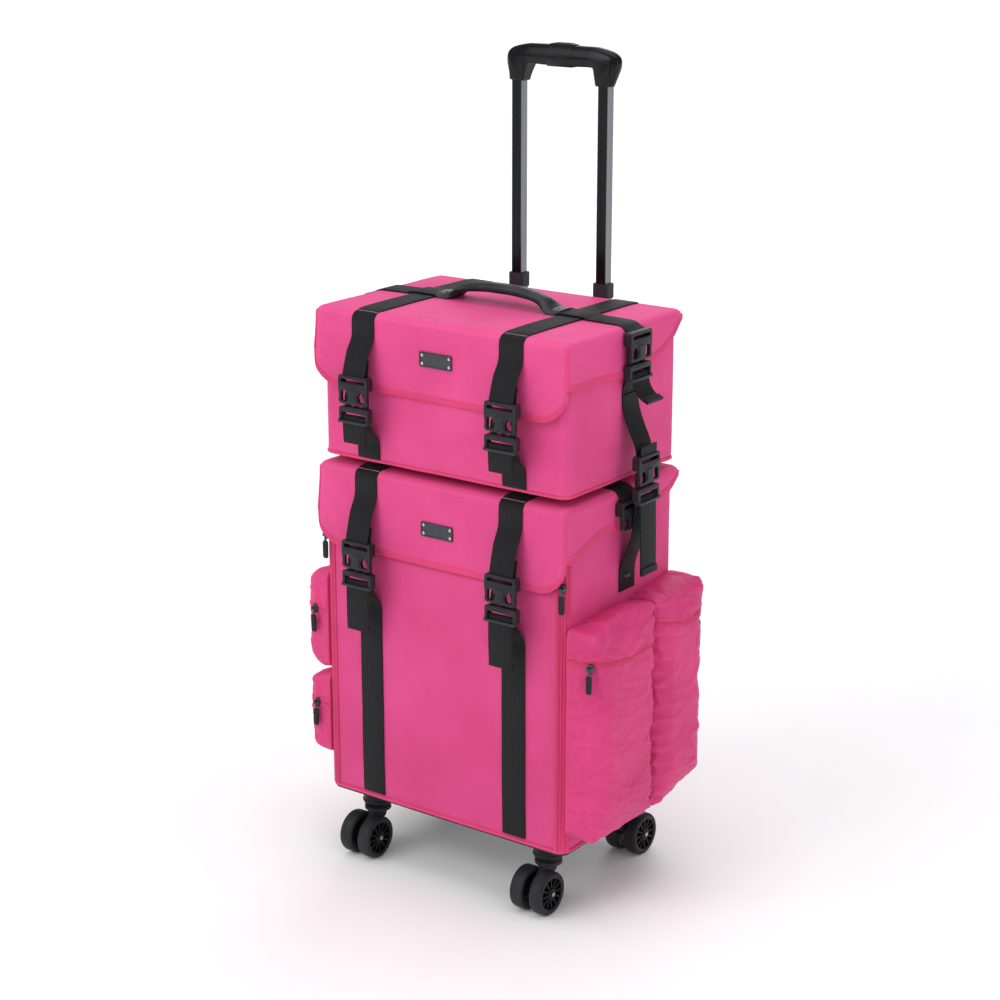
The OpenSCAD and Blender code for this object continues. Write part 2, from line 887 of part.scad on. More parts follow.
fork(1, -1);  // fork_front_right
wheel_pair(1, -1);  // wheels_front_right
axle(1, -1);  // axle_front_right
fork(-1, 1);  // fork_rear_left
wheel_pair(-1, 1);  // wheels_rear_left
axle(-1, 1);  // axle_rear_left
fork(1, 1);  // fork_rear_right
wheel_pair(1, 1);  // wheels_rear_right
axle(1, 1);  // axle_rear_right
pull_right_front();
pull_right_rear();
pull_left_upper();
pull_left_lower();
pull_door_left();
pull_door_right();
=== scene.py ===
"""Looks for the rolling makeup case: cloth shells, pockets, webbing, buckles, zips, handle and casters,
built round the CAD frame. Lengths are millimetres until a mesh is made, in the frame's own axes:
+X to the right, front towards -Y, +Z up, floor at 0."""
import math

import bmesh
import bpy
import numpy as np
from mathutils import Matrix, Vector
from mathutils.bvhtree import BVHTree


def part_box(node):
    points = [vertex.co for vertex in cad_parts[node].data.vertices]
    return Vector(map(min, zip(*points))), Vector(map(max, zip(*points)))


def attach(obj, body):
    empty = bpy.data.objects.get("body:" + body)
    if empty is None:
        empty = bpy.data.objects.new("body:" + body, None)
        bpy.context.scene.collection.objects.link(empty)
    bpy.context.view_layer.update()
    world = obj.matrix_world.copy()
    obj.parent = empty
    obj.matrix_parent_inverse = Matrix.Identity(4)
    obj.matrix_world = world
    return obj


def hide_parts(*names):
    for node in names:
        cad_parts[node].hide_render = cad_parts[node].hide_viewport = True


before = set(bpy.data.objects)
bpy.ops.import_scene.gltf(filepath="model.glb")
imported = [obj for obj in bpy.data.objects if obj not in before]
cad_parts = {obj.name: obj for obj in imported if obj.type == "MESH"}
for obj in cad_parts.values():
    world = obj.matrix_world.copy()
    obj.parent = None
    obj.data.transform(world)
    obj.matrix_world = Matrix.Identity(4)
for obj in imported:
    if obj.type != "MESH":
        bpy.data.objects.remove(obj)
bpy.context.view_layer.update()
MM = 0.001
X, Y, Z = np.eye(3)


def corners(node):
    """Lowest and highest corner of a CAD node, in mm."""
    low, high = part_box(node)
    return np.array(low) / MM, np.array(high) / MM


# ---- sizes read from the frame ----

TRUNK_LOW, TRUNK_HIGH = corners("trunk_shell")
VANITY_LOW, VANITY_HIGH = corners("vanity_shell")
DOOR_LOW, DOOR_HIGH = corners("door_panel")
CASE_X, CASE_Y = TRUNK_HIGH[0], TRUNK_HIGH[1]
TRUNK_LID_LOW, TRUNK_LID_HIGH = corners("trunk_lid")
VANITY_LID_LOW, VANITY_LID_HIGH = corners("vanity_lid")
LID_X, LID_FRONT = TRUNK_LID_HIGH[0], -TRUNK_LID_LOW[1]
STRAP_X = corners("door_straps")[1][0] - 19
STRAP_W = 38
CROSS_Y = float(np.mean([c[1] for c in corners("vanity_cross_strap")]))
WALL = 5
LID_SHEET = 3.6
CORNER_R = 14
FLAP_R = 45


# ---- numeric helpers ----

def lines(stops, steps):
    """Grid lines through all the stops, no further apart than the step given for each stretch."""
    out = [stops[0]]
    for a, b, step in zip(stops, stops[1:], steps):
        out += list(np.linspace(a, b, max(1, math.ceil((b - a) / step)) + 1)[1:])
    return np.array(out)


def smoothstep(a, b, v):
    t = np.clip((v - a) / (b - a), 0, 1)
    return t * t * (3 - 2 * t)


def hashed(i, j, k, seed):
    """A repeatable number from -1 to 1 for each lattice point."""
    h = (i * 374761393 + j * 668265263 + k * 1103515245 + seed * 974634777) & 0xFFFFFFFF
    h = ((h ^ (h >> 13)) * 1274126177) & 0xFFFFFFFF
    return ((h ^ (h >> 16)) & 0xFFFF) / 32767.5 - 1


def noise(points, size, seed=0):
    """Smooth value noise, -1 to 1, whose lumps are about size mm across."""
    q = np.asarray(points, float) / size
    cell = np.floor(q).astype(np.int64)
    f = q - cell
    f = f * f * (3 - 2 * f)
    total = np.zeros(len(q))
    for dx in (0, 1):
        for dy in (0, 1):
            for dz in (0, 1):
                weight = (np.where(dx, f[:, 0], 1 - f[:, 0]) * np.where(dy, f[:, 1], 1 - f[:, 1])
                          * np.where(dz, f[:, 2], 1 - f[:, 2]))
                total += weight * hashed(cell[:, 0] + dx, cell[:, 1] + dy, cell[:, 2] + dz, seed)
    return total


def rounded_path(points, passes=3, step=4.0):
    """Cuts the corners of a path and gives it even spacing; the ends stay."""
    path = np.asarray(points, float)
    for _ in range(passes):
        near = path[:-1] * 0.75 + path[1:] * 0.25
        far = path[:-1] * 0.25 + path[1:] * 0.75
        middle = np.empty((2 * len(near), path.shape[1]))
        middle[0::2], middle[1::2] = near, far
        path = np.vstack([path[:1], middle[1:-1], path[-1:]])
    return resampled(path, step)


def resampled(path, step):
    length = np.concatenate([[0], np.cumsum(np.linalg.norm(np.diff(path, axis=0), axis=1))])
    count = max(2, int(round(length[-1] / step)) + 1)
    at = np.linspace(0, length[-1], count)
    return np.stack([np.interp(at, length, path[:, i]) for i in range(path.shape[1])], axis=1)


def unit(v):
    v = np.asarray(v, float)
    return v / np.maximum(np.linalg.norm(v, axis=-1, keepdims=True), 1e-9)


# ---- mesh helpers ----

class Build:
    """Collects points and faces of one piece. Each point may carry a (across, along, out) place in mm."""

    def __init__(self):
        self.points, self.faces, self.slots, self.place, self.count = [], [], [], [], 0

    def add(self, shape, slot=0, place=None):
        points, faces = shape[0], shape[1]
        if place is None:
            place = shape[2] if len(shape) > 2 else np.zeros((len(points), 3))
        self.points.append(np.asarray(points, float))
        self.place.append(np.asarray(place, float))
        self.faces += [tuple(i + self.count for i in face) for face in faces]
        self.slots += [slot] * len(faces)
        self.count += len(points)
        return self

    def make(self, name, materials, body, stands_for=(), slot=None, flat=False):
        mesh = bpy.data.meshes.new(name)
        points = np.vstack(self.points)
        mesh.from_pydata((points * MM).tolist(), [], self.faces)
        materials = materials if isinstance(materials, (list, tuple)) else [materials]
        for m in materials:
            mesh.materials.append(m)
        mesh.polygons.foreach_set("material_index", self.slots)
        mesh.attributes.new("place", "FLOAT_VECTOR", "POINT").data.foreach_set(
            "vector", np.vstack(self.place).astype(np.float32).ravel())
        mesh.update()
        obj = bpy.data.objects.new(name, mesh)
        bpy.context.scene.collection.objects.link(obj)
        if not flat:
            smooth(obj)
        return finish_piece(obj, body, stands_for)


def finish_piece(obj, body, stands_for=()):
    if body:
        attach(obj, body)
    if stands_for:
        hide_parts(*stands_for)
    return obj


def smooth(obj, angle=40):
    """Smooth shading with hard edges kept above an angle."""
    mesh = obj.data
    mesh.polygons.foreach_set("use_smooth", [True] * len(mesh.polygons))
    mesh.set_sharp_from_angle(angle=math.radians(angle))


def coordinates(obj):
    co = np.empty(len(obj.data.vertices) * 3, np.float32)
    obj.data.vertices.foreach_get("co", co)
    return co.reshape(-1, 3).astype(float) / MM


def set_coordinates(obj, points):
    obj.data.vertices.foreach_set("co", (np.asarray(points) * MM).astype(np.float32).ravel())
    obj.data.update()


def normals(obj):
    n = np.empty(len(obj.data.vertices) * 3, np.float32)
    obj.data.vertices.foreach_get("normal", n)
    return n.reshape(-1, 3).astype(float)


def apply_modifiers(obj):
    graph = bpy.context.evaluated_depsgraph_get()
    mesh = bpy.data.meshes.new_from_object(obj.evaluated_get(graph))
    obj.modifiers.clear()
    obj.data = mesh


def sweep(path, profile, side, out, closed=False, scale=None):
    """A profile of (side, out) pairs carried along a path; side and out are unit vectors, one or one each.
    scale, if given, is a pair of factors for each point of the path."""
    path = np.asarray(path, float)
    profile = np.asarray(profile, float)
    n, m = len(path), len(profile)
    side = np.broadcast_to(side, (n, 3))
    out = np.broadcast_to(out, (n, 3))
    shape = np.repeat(profile[None], n, axis=0)
    if scale is not None:
        shape = shape * np.asarray(scale, float)[:, None]
    points = path[:, None] + shape[..., :1] * side[:, None] + shape[..., 1:] * out[:, None]
    steps = np.linalg.norm(np.diff(path, axis=0), axis=1)
    along = np.concatenate([[0], np.cumsum(steps)])
    place = np.empty((n, m, 3))
    place[..., 0] = shape[..., 0]
    place[..., 1] = along[:, None]
    place[..., 2] = shape[..., 1]
    faces = []
    for i in range(n if closed else n - 1):
        a, b = i * m, (i + 1) % n * m
        faces += [(a + j, a + (j + 1) % m, b + (j + 1) % m, b + j) for j in range(m)]
    if not closed:
        faces.append(tuple(reversed(range(m))))
        faces.append(tuple((n - 1) * m + j for j in range(m)))
    points, place = points.reshape(-1, 3), place.reshape(-1, 3)
    return points, faces_of(points, faces), place


def faces_of(points, faces):
    """The faces, turned round if the closed shape they make is inside out."""
    volume = 0.0
    for f in faces:
        a = points[f[0]]
        for i in range(1, len(f) - 1):
            volume += np.dot(a, np.cross(points[f[i]], points[f[i + 1]]))
    return faces if volume > 0 else [tuple(reversed(f)) for f in faces]


def tangents(path, closed=False):
    path = np.asarray(path, float)
    if closed:
        return unit(np.roll(path, -1, axis=0) - np.roll(path, 1, axis=0))
    return unit(np.gradient(path, axis=0))


def circle_profile(r, count=10, squash=1.0):
    a = np.linspace(0, 2 * math.pi, count, endpoint=False)
    return np.stack([r * np.cos(a), r * squash * np.sin(a)], axis=1)


def bar_profile(w, h, r, arc=3):
    """A rectangle w by h round the origin with rounded corners."""
    r = min(r, w / 2 - 1e-3, h / 2 - 1e-3)
    out = []
    for quarter, (sx, sy) in enumerate(((1, 1), (-1, 1), (-1, -1), (1, -1))):
        for k in range(arc + 1):
            a = math.radians(90 * (quarter + k / arc))
            out.append((sx * (w / 2 - r) + r * math.cos(a), sy * (h / 2 - r) + r * math.sin(a)))
    return np.array(out)


def cord(path, r, hint, closed=False, count=8):
    """A round cord along a path; hint is a vector that is never along it, one or one each."""
    t = tangents(path, closed)
    side = unit(np.cross(t, np.broadcast_to(hint, t.shape)))
    return sweep(path, circle_profile(r, count), side, unit(np.cross(side, t)), closed)


def block(low, high, bevel=0.6, segments=2):
    """A box with rounded edges, as points and faces."""
    bm = bmesh.new()
    bmesh.ops.create_cube(bm, size=1)
    low, high = np.asarray(low, float), np.asarray(high, float)
    for v in bm.verts:
        v.co = Vector((low + high) / 2 + np.array(v.co) * (high - low))
    bmesh.ops.bevel(bm, geom=list(bm.edges), offset=bevel, segments=segments, profile=0.5,
                    affect="EDGES", clamp_overlap=True)
    return unpack(bm)


def unpack(bm):
    bm.verts.index_update()
    points = np.array([v.co for v in bm.verts], float)
    faces = [tuple(v.index for v in f.verts) for f in bm.faces]
    bm.free()
    return points, faces


def lathe(profile, count=48, closed=False):
    """Turns (radius, height) pairs round Z."""
    profile = np.asarray(profile, float)
    a = np.linspace(0, 2 * math.pi, count, endpoint=False)
    m = len(profile)
    points = np.stack([np.outer(np.cos(a), profile[:, 0]), np.outer(np.sin(a), profile[:, 0]),
                       np.tile(profile[:, 1], (count, 1))], axis=-1).reshape(-1, 3)
    faces = []
    for i in range(count):
        b = (i + 1) % count
        for j in range(m if closed else m - 1):
            k = (j + 1) % m
            faces.append((i * m + j, b * m + j, b * m + k, i * m + k))
    if not closed:
        faces.append(tuple(i * m + m - 1 for i in range(count)))
        faces.append(tuple(reversed([i * m for i in range(count)])))
    return points, faces_of(points, faces)


def plate(outlines, low, high, bevel=0.5, rings=2):
    """A flat part in (x, y) from closed outlines, holes included, between two heights, edges rounded."""
    curve = bpy.data.curves.new("plate", "CURVE")
    curve.dimensions, curve.fill_mode = "2D", "BOTH"
    curve.extrude = (high - low) / 2 - bevel
    curve.bevel_depth, curve.bevel_resolution, curve.offset = bevel, rings, -bevel
    for outline in outlines:
        spline = curve.splines.new("POLY")
        spline.points.add(len(outline) - 1)
        for p, (x, y) in zip(spline.points, outline):
            p.co = (x, y, 0, 1)
        spline.use_cyclic_u = True
    obj = bpy.data.objects.new("plate", curve)
    bpy.context.scene.collection.objects.link(obj)
    mesh = bpy.data.meshes.new_from_object(obj.evaluated_get(bpy.context.evaluated_depsgraph_get()))
    bpy.data.objects.remove(obj)
    bm = bmesh.new()
    bm.from_mesh(mesh)
    bmesh.ops.remove_doubles(bm, verts=bm.verts, dist=0.01)
    bmesh.ops.recalc_face_normals(bm, faces=bm.faces)
    points, faces = unpack(bm)
    points[:, 2] += (low + high) / 2
    return points, faces


def arc(cx, cy, r, a0, a1, count=8):
    return [(cx + r * math.cos(math.radians(a)), cy + r * math.sin(math.radians(a)))
            for a in np.linspace(a0, a1, count)]


def rounded_outline(points, r, count=4):
    """A closed outline with each corner replaced by a small curve."""
    out = []
    n = len(points)
    for i in range(n):
        p, q, s = (np.array(points[(i + d) % n], float) for d in (-1, 0, 1))
        d = min(r, np.linalg.norm(p - q) * 0.45, np.linalg.norm(s - q) * 0.45)
        a, b = q + unit(p - q) * d, q + unit(s - q) * d
        for t in np.linspace(0, 1, count + 1):
            out.append(tuple((1 - t) ** 2 * a + 2 * t * (1 - t) * q + t * t * b))
    return out


def placed(shape, origin, right, up, outside):
    """Moves a shape drawn in (across, up, outward) to a place with those three directions."""
    points = np.asarray(shape[0])
    basis = np.stack([right, up, outside])
    moved = points @ basis + np.asarray(origin, float)
    faces = shape[1]
    if np.linalg.det(basis) < 0:
        faces = [tuple(reversed(f)) for f in faces]
    return (moved, faces) + tuple(shape[2:])


class Surface:
    """The outside of a finished piece, for laying other things on."""

    def __init__(self, obj):
        mesh = obj.data
        self.tree = BVHTree.FromPolygons([v.co / MM for v in mesh.vertices],
                                         [tuple(p.vertices) for p in mesh.polygons])

    def cast(self, start, direction, lift=0.0):
        """Where a ray from each start meets the surface, lifted back along it, with the normals."""
        direction = Vector(direction)
        spots, out = [], []
        for p in np.asarray(start, float):
            hit, normal, _, _ = self.tree.ray_cast(Vector(p), direction)
            if hit is None:
                hit, normal, _, _ = self.tree.find_nearest(Vector(p))
            if normal.dot(direction) > 0:
                normal = -normal
            spots.append(np.array(hit) - np.array(direction) * lift)
            out.append(np.array(normal))
        return np.array(spots), np.array(out)

    def nearest(self, points, lift=0.0):
        spots, out = [], []
        for p in np.asarray(points, float):
            hit, normal, _, _ = self.tree.find_nearest(Vector(p))
            spots.append(np.array(hit) + np.array(normal) * lift)
            out.append(np.array(normal))
        return np.array(spots), np.array(out)


# ---- materials ----

class Nodes:
    """A material's node tree with short calls for making and joining nodes."""

    def __init__(self, name):
        self.material = bpy.data.materials.new(name)
        self.material.use_nodes = True
        self.tree = self.material.node_tree
        self.tree.nodes.clear()
        self.shader = self.add("ShaderNodeBsdfPrincipled")
        self.link(self.shader, "BSDF", self.add("ShaderNodeOutputMaterial"), "Surface")

    def add(self, kind, **values):
        node = self.tree.nodes.new(kind)
        for key, value in values.items():
            if hasattr(node, key):
                setattr(node, key, value)
            else:
                node.inputs[key.replace("_", " ")].default_value = value
        return node

    def link(self, a, output, b, socket):
        self.tree.links.new(a.outputs[output], b.inputs[socket])

    def set(self, **values):
        for key, value in values.items():
            self.shader.inputs[key.replace("_", " ")].default_value = value
        return self

    def position(self):
        return self.add("ShaderNodeTexCoord"), "Object"

    def noise(self, scale, detail=3.0, source=None):
        node = self.add("ShaderNodeTexNoise", Scale=scale, Detail=detail)
        where = source or self.position()
        self.link(where[0], where[1], node, "Vector")
        return node

    def mix(self, factor, a, b):
        """Mixes two colours; factor is a node or a number, a and b are colours or nodes."""
        node = self.add("ShaderNodeMix", data_type="RGBA")
        for value, socket in ((factor, 0), (a, 6), (b, 7)):
            if isinstance(value, bpy.types.Node):
                self.tree.links.new(first_output(value), node.inputs[socket])
            elif isinstance(value, tuple):
                node.inputs[socket].default_value = value + (1,) if len(value) == 3 else value
            else:
                node.inputs[socket].default_value = value
        return node

    def ramp(self, source, low, high, a=0.0, b=1.0):
        node = self.add("ShaderNodeMapRange")
        for socket, value in (("From Min", low), ("From Max", high), ("To Min", a), ("To Max", b)):
            node.inputs[socket].default_value = value
        self.tree.links.new(first_output(source), node.inputs["Value"])
        return node

    def maths(self, operation, a, b=0.5):
        node = self.add("ShaderNodeMath", operation=operation)
        for value, socket in ((a, 0), (b, 1)):
            if isinstance(value, bpy.types.Node):
                self.tree.links.new(first_output(value), node.inputs[socket])
            else:
                node.inputs[socket].default_value = value
        return node

    def bump(self, height, strength, distance, previous=None):
        node = self.add("ShaderNodeBump", Strength=strength, Distance=distance)
        self.tree.links.new(first_output(height), node.inputs["Height"])
        if previous:
            self.link(previous, "Normal", node, "Normal")
        return node

    def grid(self, period, source=None):
        """A lattice of small humps, the same on faces square to any axis: a plain weave."""
        where = source or self.position()
        scaled = self.add("ShaderNodeVectorMath", operation="SCALE")
        scaled.inputs["Scale"].default_value = 2 * math.pi / (period * MM)
        self.link(where[0], where[1], scaled, 0)
        waves = self.add("ShaderNodeVectorMath", operation="SINE")
        self.link(scaled, "Vector", waves, 0)
        total = self.add("ShaderNodeVectorMath", operation="DOT_PRODUCT")
        total.inputs[1].default_value = (1, 1, 1)
        self.link(waves, "Vector", total, 0)
        return self.ramp_output(total, "Value")

    def ramp_output(self, node, output):
        scaled = self.add("ShaderNodeMapRange")
        scaled.inputs["From Min"].default_value = -3
        scaled.inputs["From Max"].default_value = 3
        self.link(node, output, scaled, "Value")
        return scaled

    def finish(self, colour=None, rough=None, bump=None):
        if colour:
            self.tree.links.new(first_output(colour), self.shader.inputs["Base Color"])
        if rough:
            self.tree.links.new(first_output(rough), self.shader.inputs["Roughness"])
        if bump:
            self.link(bump, "Normal", self.shader, "Normal")
        return self.material


def first_output(node):
    if node.bl_idname == "ShaderNodeMix":
        return node.outputs[2]
    return next(o for o in node.outputs if o.enabled)


def worn(nodes, colour, light, amount=0.5):
    """Lightens a colour node along convex edges."""
    edge = nodes.add("ShaderNodeMapRange", From_Min=0.5, From_Max=0.6)
    nodes.link(nodes.add("ShaderNodeNewGeometry"), "Pointiness", edge, "Value")
    return nodes.mix(nodes.maths("MULTIPLY", edge, amount), colour, light)


def cloth_material(name, base, dark, light, sheen=0.35, rough=0.62, period=1.15, painted_floor_shade=0.0):
    """A plain weave with creases, lighter at its edges; painted_floor_shade is how much painted shade darkens
    it down by the floor.
    """
    n = Nodes(name)
    patches = n.ramp(n.noise(7, 4), 0.35, 0.65)
    grain = n.ramp(n.noise(900, 2), 0.3, 0.7)
    weave = n.grid(period)
    colour = n.mix(patches, dark, base)
    colour = n.mix(n.maths("MULTIPLY", grain, 0.22), colour, light)
    colour = n.mix(n.maths("MULTIPLY", n.ramp(weave, 0.5, 0.3), 0.28), colour, dark)
    colour = worn(n, colour, light, 0.4)
    if painted_floor_shade:
        # painted shade: the colour darkens towards the floor, standing in for the light falling off low on
        # the case
        height = n.add("ShaderNodeSeparateXYZ")
        n.link(*n.position(), height, "Vector")
        down = n.add("ShaderNodeMapRange", From_Min=0.62, From_Max=0.1, To_Max=painted_floor_shade)
        n.link(height, "Z", down, "Value")
        colour = n.mix(down, colour, tuple(0.5 * c for c in dark))
    creases = n.bump(n.noise(95, 5), 0.16, 0.0012)
    threads = n.bump(weave, 0.42, 0.00028, creases)
    n.set(Sheen_Weight=sheen, Sheen_Roughness=0.45, Sheen_Tint=light + (1,), Specular_IOR_Level=0.28)
    return n.finish(colour, n.ramp(grain, 0, 1, rough - 0.05, rough + 0.1), threads)


def webbing_material():
    """Ribs along the strap and a fine chevron across it, read from each point's place on the strap."""
    n = Nodes("webbing")
    place = n.add("ShaderNodeAttribute", attribute_name="place")
    parts = n.add("ShaderNodeSeparateXYZ")
    n.link(place, "Vector", parts, "Vector")

    def wave(output, period):
        node = n.add("ShaderNodeMath", operation="MULTIPLY")
        n.link(parts, output, node, 0)
        node.inputs[1].default_value = 2 * math.pi / period
        return n.maths("SINE", node)

    ribs = n.ramp(wave("X", 3.1), -1, 1)
    picks = n.ramp(wave("Y", 1.9), -1, 1)
    pattern = n.maths("ADD", n.maths("MULTIPLY", ribs, 0.75), n.maths("MULTIPLY", picks, 0.25))
    speck = n.ramp(n.noise(500, 3), 0.35, 0.7)
    colour = n.mix(pattern, (0.0025, 0.0025, 0.003), (0.010, 0.010, 0.0115))
    colour = n.mix(n.maths("MULTIPLY", speck, 0.22), colour, (0.03, 0.03, 0.034))
    n.set(Sheen_Weight=0.03, Sheen_Roughness=0.4, Specular_IOR_Level=0.22)
    return n.finish(colour, n.ramp(speck, 0, 1, 0.5, 0.68), n.bump(pattern, 0.8, 0.0006))


def moulded_material(name, base, light, rough, grain=700, strength=0.12, coat=0.0, edge=0.5):
    n = Nodes(name)
    spots = n.noise(grain, 3)
    streaks = n.ramp(n.noise(30, 4), 0.4, 0.7)
    colour = n.mix(n.maths("MULTIPLY", streaks, 0.35), base, light)
    colour = worn(n, colour, light, edge)
    n.set(Coat_Weight=coat, Coat_Roughness=0.1, Specular_IOR_Level=0.24)
    return n.finish(colour, n.ramp(streaks, 0, 1, rough, rough + 0.12), n.bump(spots, strength, 0.0002))


def metal_material(name, base, rough):
    n = Nodes(name)
    fine = n.noise(260, 4)
    colour = n.mix(n.ramp(fine, 0.35, 0.7), tuple(0.8 * c for c in base), base)
    n.set(Metallic=1.0)
    return n.finish(colour, n.ramp(fine, 0.3, 0.7, rough, rough + 0.15), n.bump(fine, 0.05, 0.0002))


def tube_material():
    """Black anodised aluminium: a dark metal under a clear coat, with faint drawing lines; faces turned
    towards +X or -X are painted light grey as a painted reflection.
    """
    n = Nodes("black_tube")
    where = n.position()
    stretched = n.add("ShaderNodeMapping")
    stretched.inputs["Scale"].default_value = (900, 900, 6)
    n.link(where[0], where[1], stretched, "Vector")
    drawn = n.noise(1.0, 3, (stretched, "Vector"))
    facing = n.add("ShaderNodeSeparateXYZ")
    n.link(n.add("ShaderNodeNewGeometry"), "True Normal", facing, "Vector")
    # painted reflection: faces whose normal points along X take a light grey in place of the black
    painted_reflection_mask = n.maths("ABSOLUTE", facing, 0.0)
    face = n.mix(n.ramp(drawn, 0.35, 0.7), (0.008, 0.008, 0.0095), (0.018, 0.0185, 0.021))
    painted_reflection = n.mix(n.ramp(drawn, 0.35, 0.7), (0.17, 0.173, 0.19), (0.26, 0.265, 0.29))
    colour = n.mix(n.ramp(painted_reflection_mask, 0.5, 0.9), face, painted_reflection)
    n.set(Metallic=0.9, Coat_Weight=0.1, Coat_Roughness=0.06, Specular_IOR_Level=0.5)
    return n.finish(colour, n.ramp(drawn, 0.3, 0.7, 0.2, 0.34), n.bump(drawn, 0.06, 0.0001))


def thread_material(name, colour, light):
    n = Nodes(name)
    twist = n.ramp(n.noise(2500, 2), 0.35, 0.65)
    n.set(Sheen_Weight=0.3, Specular_IOR_Level=0.3)
    return n.finish(n.mix(twist, colour, light), n.ramp(twist, 0, 1, 0.5, 0.7), n.bump(twist, 0.3, 0.0002))


def coil_material():
    """Close turns of nylon coil, read from each point's place along the zip."""
    n = Nodes("zip_coil")
    place = n.add("ShaderNodeAttribute", attribute_name="place")
    parts = n.add("ShaderNodeSeparateXYZ")
    n.link(place, "Vector", parts, "Vector")
    turns = n.add("ShaderNodeMath", operation="MULTIPLY")
    n.link(parts, "Y", turns, 0)
    turns.inputs[1].default_value = 2 * math.pi / 1.7
    wave = n.ramp(n.maths("SINE", turns), -1, 1)
    n.set(Specular_IOR_Level=0.6, Coat_Weight=0.2)
    colour = n.mix(wave, (0.30, 0.006, 0.05), (0.80, 0.05, 0.18))
    return n.finish(colour, n.ramp(wave, 0, 1, 0.5, 0.3), n.bump(wave, 0.9, 0.0005))


# the case's pink carries painted shade that darkens it towards the floor
PINK = cloth_material("pink_fabric", (0.72, 0.060, 0.240), (0.61, 0.040, 0.180), (0.85, 0.16, 0.37),
                      sheen=0.2, painted_floor_shade=0.2)
TRIM = cloth_material("pink_trim", (0.68, 0.030, 0.15), (0.52, 0.018, 0.095), (0.82, 0.12, 0.28), period=0.9)
LINING = cloth_material("lining", (0.022, 0.022, 0.026), (0.012, 0.012, 0.014), (0.07, 0.07, 0.08),
                        sheen=0.15, rough=0.5, period=0.8)
WEBBING = webbing_material()
BUCKLE = moulded_material("buckle_plastic", (0.006, 0.006, 0.0072), (0.042, 0.043, 0.048), 0.34, edge=0.8)
PLASTIC = moulded_material("moulded_plastic", (0.006, 0.006, 0.007), (0.04, 0.04, 0.045), 0.44)
GLOSS = moulded_material("grip_plastic", (0.003, 0.003, 0.0036), (0.014, 0.0145, 0.017), 0.24, strength=0.04,
                         coat=0.0, edge=0.35)
RUBBER = moulded_material("grip_rubber", (0.016, 0.0155, 0.018), (0.085, 0.085, 0.097), 0.33, grain=900,
                          strength=0.15, edge=0.4)
TREAD = moulded_material("wheel_tread", (0.010, 0.010, 0.011), (0.045, 0.045, 0.048), 0.5, grain=400,
                         strength=0.25)
STEEL = metal_material("steel", (0.62, 0.63, 0.65), 0.24)
DARK_METAL = metal_material("dark_metal", (0.085, 0.087, 0.095), 0.3)
ZIP_METAL = moulded_material("zip_metal", (0.008, 0.008, 0.009), (0.09, 0.09, 0.1), 0.28, strength=0.05,
                             coat=0.3, edge=0.7)
TUBE = tube_material()
THREAD = thread_material("pink_thread", (0.55, 0.02, 0.12), (0.75, 0.10, 0.26))
PALE_THREAD = thread_material("pale_thread", (0.75, 0.30, 0.45), (0.90, 0.55, 0.65))
BLACK_THREAD = thread_material("black_thread", (0.02, 0.02, 0.022), (0.07, 0.07, 0.075))


# ---- sewing ----

def stitches(name, rows, material, body, spacing=3.6, length=2.5, r=0.38):
    """Rows of (points, normals) sewn as short raised threads."""
    out = Build()
    ring = circle_profile(1.0, 6)
    for spots, up in rows:
        both = resampled(np.hstack([spots, up]), spacing)
        spots, up = both[:, :3], unit(both[:, 3:])
        t = tangents(spots)
        for p, n, d in zip(spots, up, t):
            side = unit(np.cross(d, n))
            points = []
            for share, width in ((-0.5, 0.35), (-0.3, 1.0), (0.3, 1.0), (0.5, 0.35)):
                sink = r * (0.9 if abs(share) > 0.4 else 0.15)
                middle = p + d * share * length - n * sink
                points += [middle + width * r * (a * side + b * n) for a, b in ring]
            faces = [tuple(range(5, -1, -1)), tuple(range(18, 24))]
            for i in range(3):
                faces += [(i * 6 + j, i * 6 + (j + 1) % 6, i * 6 + 6 + (j + 1) % 6, i * 6 + 6 + j)
                          for j in range(6)]
            out.add((np.array(points), faces_of(np.array(points), faces)))
    return out.make(name, material, body)


# ---- cloth shells ----

def box_sheet(xs, ys, zs, sides, keep=None):
    """The chosen sides of a box on given grid lines, as quads that share their edges."""
    index, points, faces = {}, [], []
    counts = (len(xs) - 1, len(ys) - 1, len(zs) - 1)

    def corner(i, j, k):
        if (i, j, k) not in index:
            index[i, j, k] = len(points)
            points.append((xs[i], ys[j], zs[k]))
        return index[i, j, k]

    fixed = {"left": (0, 0), "right": (0, counts[0]), "front": (1, 0), "back": (1, counts[1]),
             "bottom": (2, 0), "top": (2, counts[2])}
    flipped = {"left", "back", "bottom"}
    for side in sides:
        axis, at = fixed[side]
        first, second = [a for a in (0, 1, 2) if a != axis]
        for a in range(counts[first]):
            for b in range(counts[second]):
                quad = []
                for da, db in ((0, 0), (1, 0), (1, 1), (0, 1)):
                    place = [0, 0, 0]
                    place[axis], place[first], place[second] = at, a + da, b + db
                    quad.append(tuple(place))
                if keep and not keep(side, [(xs[q[0]], ys[q[1]], zs[q[2]]) for q in quad]):
                    continue
                ids = [corner(*q) for q in quad]
                faces.append(tuple(reversed(ids)) if side in flipped else tuple(ids))
    return np.array(points, float), faces, index


def rounded_block(points, low, high, r_low, r_high):
    """Rounds the edges of a box sheet; each of the box's six sides has its own radius, 0 for a square one."""
    r_low, r_high = np.array(r_low, float), np.array(r_high, float)
    q = np.clip(points, low + r_low, high - r_high)
    d = points - q
    share = np.abs(d) / np.maximum(np.where(d < 0, r_low, r_high), 1e-6)
    length = np.maximum(np.linalg.norm(share, axis=1), 1e-9)
    return q + d * (share.max(axis=1) / length)[:, None]


def sheet_object(name, points, faces):
    mesh = bpy.data.meshes.new(name)
    mesh.from_pydata((points * MM).tolist(), [], faces)
    mesh.update()
    obj = bpy.data.objects.new(name, mesh)
    bpy.context.scene.collection.objects.link(obj)
    return obj


